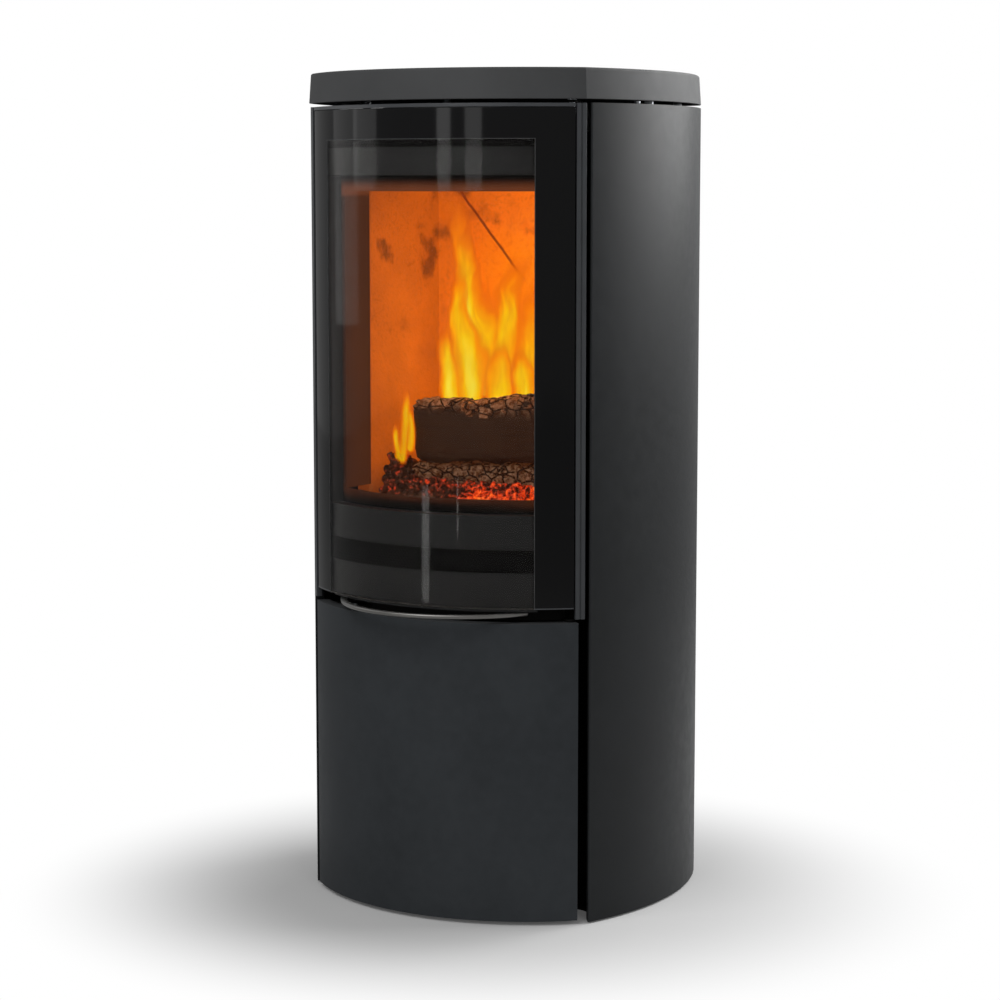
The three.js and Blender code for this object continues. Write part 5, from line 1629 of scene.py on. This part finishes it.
@dataclass
class LowerDoor:
    """The bowed door of bent sheet over the wood store."""

    bearing: float = 43.3
    bottom: float = 5.0
    top: float = 404.0
    sheet: float = 2.5
    depth: float = 18.0
    return_z: float = 20.0
    lap: float = 0.1

    def pan(self) -> Form:
        """The skin with its folds at top and bottom, and the two upright folds.

        Returns:
            The door.
        """
        skin = FRONT_RADIUS - self.sheet
        inner = FRONT_RADIUS - self.depth
        ceiling, shelf = self.top - self.sheet, self.return_z + self.sheet
        section = [
            (FRONT_RADIUS, self.bottom), (FRONT_RADIUS, self.top), (inner, self.top),
            (inner, ceiling), (skin, ceiling), (skin, shelf), (inner, shelf),
            (inner, self.return_z), (skin, self.return_z), (skin, self.bottom),
        ]
        form = Form.swept_section(section, (0, 0), -self.bearing, self.bearing, 96)
        fold = math.degrees(self.sheet / FRONT_RADIUS)
        for side in (-1, 1):
            ends = sorted((side * self.bearing, side * (self.bearing - fold)))
            upright = [(inner, shelf - self.lap), (skin + self.lap, shelf - self.lap),
                       (skin + self.lap, ceiling + self.lap), (inner, ceiling + self.lap)]
            form.add(Form.swept_section(upright, (0, 0), *ends, 1))
        return form

    def build(self, shop: Workshop) -> None:
        """Makes and dresses the door.

        Args:
            shop: the workshop.
        """
        pan = self.pan().place("lower_door_pan")
        smoothed(pan, 28.0, 0.9, 3)
        shop.fit(pan, Body.LOWER_DOOR, LIT_DOOR_PAINT, ["lower_door"])


# ---- Inside and fittings ------------------------------------------------------------------------


@dataclass
class Firebox:
    """The welded firebox, its lining, grate, guards and air parts."""

    crack: tuple[Point, Point] = ((-116.0, 10.7, 966.0), (-1.0, 10.7, 832.0))
    roof: float = 1066.0
    wool_half: float = 160.0
    wool_front: float = -118.0
    wool_depth: float = 146.0
    wool_height: float = 12.5
    wool_edge: float = 9.0
    quilt_x: float = 40.0
    quilt_y: float = 36.0
    quilt_start: float = -5.0

    def wool(self) -> Form:
        """The quilted wool mat on the firebox's roof, with soft edges.

        Returns:
            The mat.
        """
        rings = []
        steps, across = 64, 36
        for step in range(steps + 1):
            x = self.wool_half * (2 * step / steps - 1)
            near_end = min(1.0, (self.wool_half - abs(x)) / self.wool_edge + 0.02)
            seam_x = math.sin(math.pi * x / self.quilt_x)
            ring = []
            for i in range(across + 1):
                y = self.wool_front + self.wool_depth * i / across
                from_edge = min(i, across - i) / across * self.wool_depth
                near_edge = min(1.0, from_edge / self.wool_edge + 0.02)
                seam_y = math.sin(math.pi * (y - self.quilt_start) / self.quilt_y)
                puff = 0.86 + 0.14 * abs(seam_x * seam_y) ** 0.35
                lift = self.wool_height * math.sqrt(near_end * near_edge) * puff
                ring.append((x, y, self.roof + 0.1 + lift))
            floor = [(x, y, self.roof + 0.05) for _, y, _ in reversed(ring)]
            rings.append(ring + floor)
        return Form.loft(rings)

    def build(self, shop: Workshop) -> None:
        """Dresses the firebox and lays the wool mat on its roof.

        Args:
            shop: the workshop.
        """
        mat = self.wool().place("roof_wool_mat")
        smoothed(mat, 50.0)
        shop.fit(mat, Body.STOVE, WOOL)
        shop.refine("firebox_front", Body.STOVE, FIRELIT, 0.5)
        shop.dress(INNER, "firebox_shell", "flue_box", "hearth_shelf", "air_wash_channel",
                   "smoke_deflector", "ash_shelf", "air_box", "storage_cabinet", "base_plate",
                   "air_slide")
        shop.dress(FireLining("side_lining", 0.8), "liner_right", "liner_left")
        shop.dress(FireLining("back_lining", 1.0, self.crack), "liner_back")
        shop.dress(FireLining("hearth_lining", 0.5), "hearth_brick_left", "hearth_brick_right",
                   "baffle_board")
        for node, body, finish, slot, bevel in (
            ("log_guard", Body.STOVE, IRON, "cast_iron", 0.5),
            ("grate_ring", Body.STOVE, IRON, "cast_iron", 0.5),
            ("grate_disc", Body.GRATE, IRON, "cast_iron", 0.6),
            ("ash_pan", Body.ASH_PAN, INNER, "inner_steel", 0.3),
            ("air_lever_knob", Body.AIR_SLIDE, ZINC, "zinc", 0.6),
            ("flue_collar", Body.STOVE, IRON, "cast_iron", 0.8),
            ("air_spigot", Body.STOVE, ZINC, "zinc", 0.3),
        ):
            shop.refine(node, body, finish, bevel)


@dataclass
class Fittings:
    """Feet, hinge brackets, catch and magnet."""

    def build(self, shop: Workshop) -> None:
        """Dresses the fittings.

        Args:
            shop: the workshop.
        """
        for number in range(1, 5):
            shop.refine(f"levelling_foot_{number}", Body.STOVE, ZINC, 0.4)
        for place in ("bottom", "middle", "top"):
            shop.refine(f"hinge_bracket_{place}", Body.STOVE, INNER, 0.35)
        for node, body in (("catch_bracket", Body.STOVE), ("catch_arm", Body.CATCH_ARM),
                           ("catch_roller", Body.CATCH_ROLLER), ("lower_magnet", Body.STOVE)):
            shop.refine(node, body, ZINC, 0.3)


# ---- Fire ---------------------------------------------------------------------------------------


@dataclass
class Fire:
    """Logs, embers and flames on the hearth."""

    hearth: float = 532.0
    main_start: Point = (-104.0, -96.0, 633.0)
    main_end: Point = (116.0, -96.0, 644.0)
    main_size: Plan = (66.0, 84.0)
    low_logs: tuple[tuple[Point, Point, Plan, float], ...] = (
        ((-110.0, -104.0, 566.0), (112.0, -100.0, 568.0), (44.0, 42.0), 7.7),
        ((-96.0, -54.0, 568.0), (108.0, -62.0, 572.0), (50.0, 50.0), 12.4),
        ((-60.0, -30.0, 636.0), (110.0, -44.0, 648.0), (48.0, 50.0), 15.9),
    )
    bed_half: float = 136.0
    bed_front: float = -158.0
    bed_depth: float = 160.0

    @staticmethod
    def split_log(start: Point, end: Point, size: Plan, seed: float, squareness: float) -> Form:
        """A rough split log between two points.

        Args:
            start: the middle of its first end.
            end: the middle of its other end.
            size: its width across the hearth and its height.
            seed: which roughness it gets.
            squareness: how round its section is, from 0, square, to 1, round.

        Returns:
            The log.
        """
        first, last = Vector(start), Vector(end)
        along = (last - first).normalized()
        up = Vector((0, 0, 1))
        out = along.cross(up).normalized()
        up = out.cross(along)
        rings = []
        steps, around = 70, 56
        for step in range(steps + 1):
            t = step / steps
            middle = first.lerp(last, t)
            end_cut = 1 - 0.1 * max(0.0, 1 - min(t, 1 - t) * 22) ** 2
            ring = []
            for turn in range(around):
                angle = 2 * math.pi * turn / around
                c, s = math.cos(angle), math.sin(angle)
                across = squared(c, squareness) * size[0] / 2
                upward = squared(s, squareness) * size[1] / 2
                spot = middle + (out * across + up * upward) * end_cut
                lumpy = noise.noise(spot * 0.03 + Vector((seed, 0, 0))) * 5.0
                grain = Vector((spot.x * 0.05, spot.y * 0.22, spot.z * 0.22 + seed))
                spot += (out * c + up * s) * (lumpy + noise.noise(grain) * 2.2)
                ring.append(tuple(spot))
            rings.append(ring)
        return Form.loft(rings)

    def bed(self) -> Form:
        """The mound that the embers lie on: low behind, a ridge in front and a drift on the left.

        Returns:
            The mound's upper surface.
        """
        columns, rows = 54, 44
        points = []
        for row in range(rows + 1):
            y = self.bed_front + self.bed_depth * row / rows
            for column in range(columns + 1):
                x = self.bed_half * (2 * column / columns - 1)
                ridge = 27.0 * bell(y + 134.0, 17.0) * (1 if abs(x) < 120 else 0.8)
                drift = 58.0 * bell(x + 140.0, 24.0) * bell(y + 104.0, 44.0)
                rough = noise.noise(Vector((x, y, 3.0)) * 0.045) * 7.0
                points.append((x, y, self.hearth + 5.0 + max(0.0, ridge + drift + rough)))
        faces = []
        for row in range(rows):
            for column in range(columns):
                corner = row * (columns + 1) + column
                faces.append((corner, corner + 1, corner + columns + 2, corner + columns + 1))
        return Form(points, faces)

    @staticmethod
    def curtain(y: float, half_width: float, bottom: float, top: float, sag: float) -> Form:
        """A thin upright sheet, bowed in the plan and rippled, that carries flames.

        Args:
            y: where it stands.
            half_width: half its width.
            bottom: its lower edge.
            top: its upper edge.
            sag: how far its middle stands forward.

        Returns:
            The sheet, closed at its edges.
        """
        rings = []
        steps, levels = 40, 24
        for level in range(levels + 1):
            z = bottom + (top - bottom) * level / levels
            front = []
            for step in range(steps + 1):
                x = half_width * (2 * step / steps - 1)
                ripple = noise.noise(Vector((x * 0.03, y, z * 0.014))) * 5.0
                front.append((x, y - sag * (1 - (x / half_width) ** 2) + ripple))
            back = [(px, py + 0.6) for px, py in reversed(front)]
            rings.append([(px, py, z) for px, py in front + back])
        return Form.loft(rings)

    def logs(self, shop: Workshop) -> None:
        """Lays the logs, with blocks of char on the upper one.

        Args:
            shop: the workshop.
        """
        form = self.split_log(self.main_start, self.main_end, self.main_size, 3.1, 0.34)
        main = form.place("log_main")
        blocks = shown("log_main_char", main.data.copy())
        smoothed(main, 50.0)
        shop.fit(main, Body.STOVE, CharredWood("log_char", 658.0, 672.0, 0.5))
        # The char blocks get brighter painted firelight.
        crust = CharredWood("char_blocks", 500.0, 540.0, 1.0, 1.5)
        Strewn("char_scatter", size=(12.0, 9.0, 6.0), spacing=9.0, spread=0.3, roundness=0.3,
               roughness=2.4, tumble=0.22, seed=11, facing=0.35).strew(blocks, shop.material(crust))
        smoothed(blocks, 40.0)
        shop.fit(blocks, Body.STOVE, crust)
        lower = CharredWood("log_char_low", 500.0, 540.0, 1.0)
        for number, (start, end, size, seed) in enumerate(self.low_logs, 1):
            name = f"log_low_{number}"
            piece = self.split_log(start, end, size, seed, 0.6).place(name)
            crumbs = shown(f"{name}_char", piece.data.copy())
            smoothed(piece, 50.0)
            shop.fit(piece, Body.STOVE, lower)
            Strewn(f"crumb_scatter_{number}", size=(11.0, 9.0, 6.0), spacing=9.5, spread=0.3,
                   roundness=0.3, roughness=2.4, tumble=0.3, seed=19 + number, facing=-0.6,
                   ).strew(crumbs, shop.material(lower))
            smoothed(crumbs, 40.0)
            shop.fit(crumbs, Body.STOVE, lower)

    def embers(self, shop: Workshop) -> None:
        """Heaps the embers and the finer ash on the hearth.

        Args:
            shop: the workshop.
        """
        coals = Strewn("ember_scatter", size=(15.0, 12.0, 10.0), spacing=8.5, spread=0.4,
                       roundness=0.6, roughness=4.0, tumble=3.1, seed=5)
        crumbs = Strewn("ash_scatter", size=(6.0, 5.0, 4.5), spacing=5.5, spread=0.5,
                        roundness=0.7, roughness=2.0, tumble=3.1, seed=8)
        for name, finish, lumps in (("ember_bed", Embers(), coals),
                                    ("ash_crumbs", Embers("ash", 0.4), crumbs)):
            heap = self.bed().place(name)
            lumps.strew(heap, shop.material(finish))
            smoothed(heap, 50.0)
            shop.fit(heap, Body.STOVE, finish)

    def flames(self, shop: Workshop) -> None:
        """Lights the fire: one curtain of flames behind the log, one on it and one beside it.

        Args:
            shop: the workshop.
        """
        behind = Flame("flame_behind", (
            Tongue(-50.0, 640.0, 360.0, 56.0, -40.0, 14.0, 0.4),
            Tongue(-72.0, 640.0, 240.0, 34.0, -20.0, 9.0, 2.0),
            Tongue(-10.0, 640.0, 270.0, 48.0, 10.0, 12.0, 3.3),
            Tongue(34.0, 640.0, 225.0, 44.0, -8.0, 9.0, 4.1),
            Tongue(74.0, 640.0, 310.0, 38.0, 8.0, 12.0, 5.6),
            Tongue(104.0, 640.0, 270.0, 36.0, -6.0, 9.0, 6.4),
        ), 1.7, 0.95)
        above = Flame("flame_above", (
            Tongue(-70.0, 655.0, 150.0, 30.0, -14.0, 8.0, 2.2),
            Tongue(-42.0, 660.0, 240.0, 40.0, -6.0, 9.0, 7.5),
            Tongue(0.0, 660.0, 120.0, 34.0, 10.0, 6.0, 8.2),
            Tongue(44.0, 660.0, 105.0, 30.0, -8.0, 6.0, 9.3),
            Tongue(78.0, 660.0, 190.0, 30.0, 6.0, 9.0, 10.8),
        ), 5.2, 1.0)
        beside = Flame("flame_beside", (
            Tongue(-121.0, 590.0, 124.0, 14.0, 15.0, 7.0, 11.9),
            Tongue(-109.0, 606.0, 80.0, 12.0, 12.0, 6.0, 13.0),
            Tongue(-127.0, 592.0, 62.0, 9.0, -4.0, 4.0, 2.6),
        ), 9.9, 0.7)
        for name, finish, sheet in (
            ("flames_behind", behind, self.curtain(-34.0, 136.0, 630.0, 985.0, 12.0)),
            ("flames_above", above, self.curtain(-78.0, 128.0, 650.0, 910.0, 8.0)),
            ("flames_beside", beside, self.curtain(-134.0, 136.0, 588.0, 722.0, 1.0)),
        ):
            made = sheet.place(name)
            made.data.shade_smooth()
            made.visible_shadow = False
            shop.fit(made, Body.STOVE, finish)

    def build(self, shop: Workshop) -> None:
        """Lays the logs and embers and lights the fire.

        Args:
            shop: the workshop.
        """
        self.logs(shop)
        self.embers(shop)
        self.flames(shop)


# ---- Studio -------------------------------------------------------------------------------------


@dataclass(frozen=True)
class Lamp:
    """A soft area lamp that looks at a point of the stove, in metres and watts."""

    name: str
    place: Point
    aim: Point
    width: float
    height: float
    power: float
    mirrored: bool = True
    colour: Colour = (1.0, 1.0, 1.0)

    def hang(self) -> None:
        """Adds the lamp to the scene."""
        data = bpy.data.lights.new(self.name, "AREA")
        data.shape = "RECTANGLE"
        data.size, data.size_y = self.width, self.height
        data.energy = self.power
        data.color = self.colour
        lamp = shown(self.name, data)
        lamp.location = self.place
        towards = Vector(self.aim) - Vector(self.place)
        lamp.rotation_euler = towards.to_track_quat("-Z", "Y").to_euler()
        lamp.visible_glossy = lamp.visible_transmission = self.mirrored


@dataclass(frozen=True)
class PaleFloor(Finish):
    """White floor, grey matt near the stove with a painted shade ring and the lamps' shadow, fading
    into the white backdrop.
    """

    name: str = "pale_floor"
    share: float = 0.06
    mirrored: float = 0.15
    # The grey of the painted shade ring round the stove, from shadow_from out to shadow_to; the
    # lamps' real shadow falls on it too.
    matt: Colour = (0.42, 0.42, 0.42)
    shadow_from: float = 0.28
    shadow_to: float = 0.68

    def shader(self, graph: SurfaceGraph) -> bpy.types.NodeSocket:
        """Draws the shader.

        Args:
            graph: the material's graph.

        Returns:
            A white surface that is partly its own light for the camera and for reflections.
        """
        x, y, _ = graph.axes()
        # Painted shade: near the stove the floor is grey matt, darker than the white beyond even
        # where no shadow falls.
        away = ((x * x + y * y) ** 0.5).rise(self.shadow_from, self.shadow_to)
        cover = (away * (1.0 - self.share) + self.share) * self.seen(graph)
        matt = graph.socket("ShaderNodeBsdfDiffuse", None, {"Color": self.matt})
        own = graph.socket("ShaderNodeEmission", None, {"Color": (1.0, 1.0, 1.0), "Strength": 1.0})
        return graph.socket("ShaderNodeMixShader", None, {0: cover, 1: matt, 2: own})

    @staticmethod
    def seen(graph: Graph) -> Value:
        """How much of the backdrop's white a ray sees.

        Args:
            graph: the graph of the floor or the world.

        Returns:
            1 from the camera and through glass, less in a reflection, 0 after a matt surface.
        """
        path = graph.node("ShaderNodeLightPath")
        camera, glossy, through, spread, shine = (
            Value(graph, path.outputs[name])
            for name in ("Is Camera Ray", "Is Glossy Ray", "Is Transmission Ray", "Diffuse Depth",
                         "Glossy Depth"))
        straight = through * (1.0 - shine.math("MINIMUM", 1.0))
        seen = camera.math("MAXIMUM", glossy * PaleFloor.mirrored).math("MAXIMUM", straight)
        return seen * (1.0 - spread.math("MINIMUM", 1.0))


@dataclass
class Studio:
    """Floor, world, lamps and camera."""

    floor_size: float = 14.0
    floor_drop: float = 0.0004
    ambient: float = 0.36
    lens: float = 98.8
    shift: float = 0.05
    camera_place: Point = (1.905, -3.2382, 0.9733)
    turn: float = 30.342
    pitch: float = 7.61
    fire_colour: Colour = (1.0, 0.42, 0.1)
    fire_size: float = 0.05

    def floor(self, shop: Workshop) -> None:
        """Lays the floor.

        Args:
            shop: the workshop.
        """
        half = self.floor_size / 2
        mesh = bpy.data.meshes.new("floor")
        corners = [(-half, -half, 0), (half, -half, 0), (half, half, 0), (-half, half, 0)]
        mesh.from_pydata(corners, [], [(0, 1, 2, 3)])
        floor = shown("floor", mesh)
        floor.location.z = -self.floor_drop
        floor.data.materials.append(shop.material(PaleFloor()))

    def world(self) -> None:
        """A white world to the camera and in reflections, softer as a light."""
        world = bpy.data.worlds.new("studio")
        world.use_nodes = True
        graph = Graph(world.node_tree)
        graph.tree.nodes.clear()
        seen = PaleFloor.seen(graph)
        strength = seen * (1.0 - self.ambient) + self.ambient
        light = graph.socket("ShaderNodeBackground", None,
                             {"Color": (1.0, 1.0, 1.0), "Strength": strength})
        graph.node("ShaderNodeOutputWorld", None, {"Surface": light})
        bpy.context.scene.world = world

    def camera(self) -> None:
        """Stands the camera where the photograph was taken from."""
        data = bpy.data.cameras.new("camera")
        data.sensor_width = 36.0
        data.lens = self.lens
        data.shift_y = self.shift
        data.clip_end = 60.0
        camera = shown("camera", data)
        turn, pitch = math.radians(self.turn), math.radians(self.pitch)
        forward = Vector((-math.sin(turn) * math.cos(pitch), math.cos(turn) * math.cos(pitch),
                          -math.sin(pitch)))
        camera.location = self.camera_place
        camera.rotation_euler = forward.to_track_quat("-Z", "Y").to_euler()
        bpy.context.scene.camera = camera

    def lamps(self) -> None:
        """Hangs the soft lamps round the stove and the fire's own light in it."""
        for lamp in (
            Lamp("over_front", (-0.3, -2.3, 2.6), (0.0, 0.0, 0.6), 2.2, 1.6, 54.0),
            Lamp("right_rear", (1.3, 1.4, 1.6), (0.24, 0.0, 1.1), 1.7, 1.2, 60.0),
            Lamp("left_side", (-2.3, -0.6, 1.3), (-0.2, -0.1, 0.8), 0.9, 1.3, 3.0),
            Lamp("right_front", (2.1, -1.9, 1.3), (0.2, -0.2, 0.4), 1.0, 1.3, 14.0, False),
            Lamp("over_back", (0.6, 2.2, 2.4), (0.0, 0.0, 0.6), 2.0, 1.2, 30.0),
            Lamp("streak_low", (-0.87, -2.2, 0.22), (0.02, -0.21, 0.5), 0.17, 0.24, 0.8),
            Lamp("streak_thin", (-0.16, -2.38, 0.3), (0.06, -0.21, 0.5), 0.05, 0.12, 0.12),
            Lamp("pane_left", (-2.0, -1.2, 1.09), (-0.08, -0.2, 1.03), 0.7, 0.26, 0.9),
            Lamp("pane_middle", (-0.44, -2.33, 1.09), (0.05, -0.21, 1.03), 0.3, 0.26, 1.0),
            Lamp("pane_right", (0.2, -2.4, 1.09), (0.08, -0.21, 1.03), 0.36, 0.26, 0.9),
        ):
            lamp.hang()
        for name, place, power in (("fire_low", (0.0, 0.0, 0.70), 0.9),
                                   ("fire_high", (0.02, 0.0, 0.86), 0.7)):
            data = bpy.data.lights.new(name, "POINT")
            data.energy = power
            data.color = self.fire_colour
            data.shadow_soft_size = self.fire_size
            lamp = shown(name, data)
            lamp.location = place
            lamp.visible_camera = lamp.visible_glossy = lamp.visible_transmission = False

    def build(self, shop: Workshop) -> None:
        """Sets up the studio.

        Args:
            shop: the workshop.
        """
        scene = bpy.context.scene
        scene.view_settings.view_transform = "Standard"
        self.floor(shop)
        self.world()
        self.lamps()
        self.camera()
        log.info("studio ready")


def main() -> None:
    """Builds the dressed stove, piece by piece, and the studio."""
    logging.basicConfig(level=logging.INFO, format="%(name)s: %(message)s")
    shop = Workshop()
    for part in (Casing(), GlassDoor(), Handle(), LowerDoor(), Firebox(), Fittings(), Fire()):
        log.info("building %s", type(part).__name__)
        part.build(shop)
    Studio().build(shop)
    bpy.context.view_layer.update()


if __name__ == "__main__":
    main()
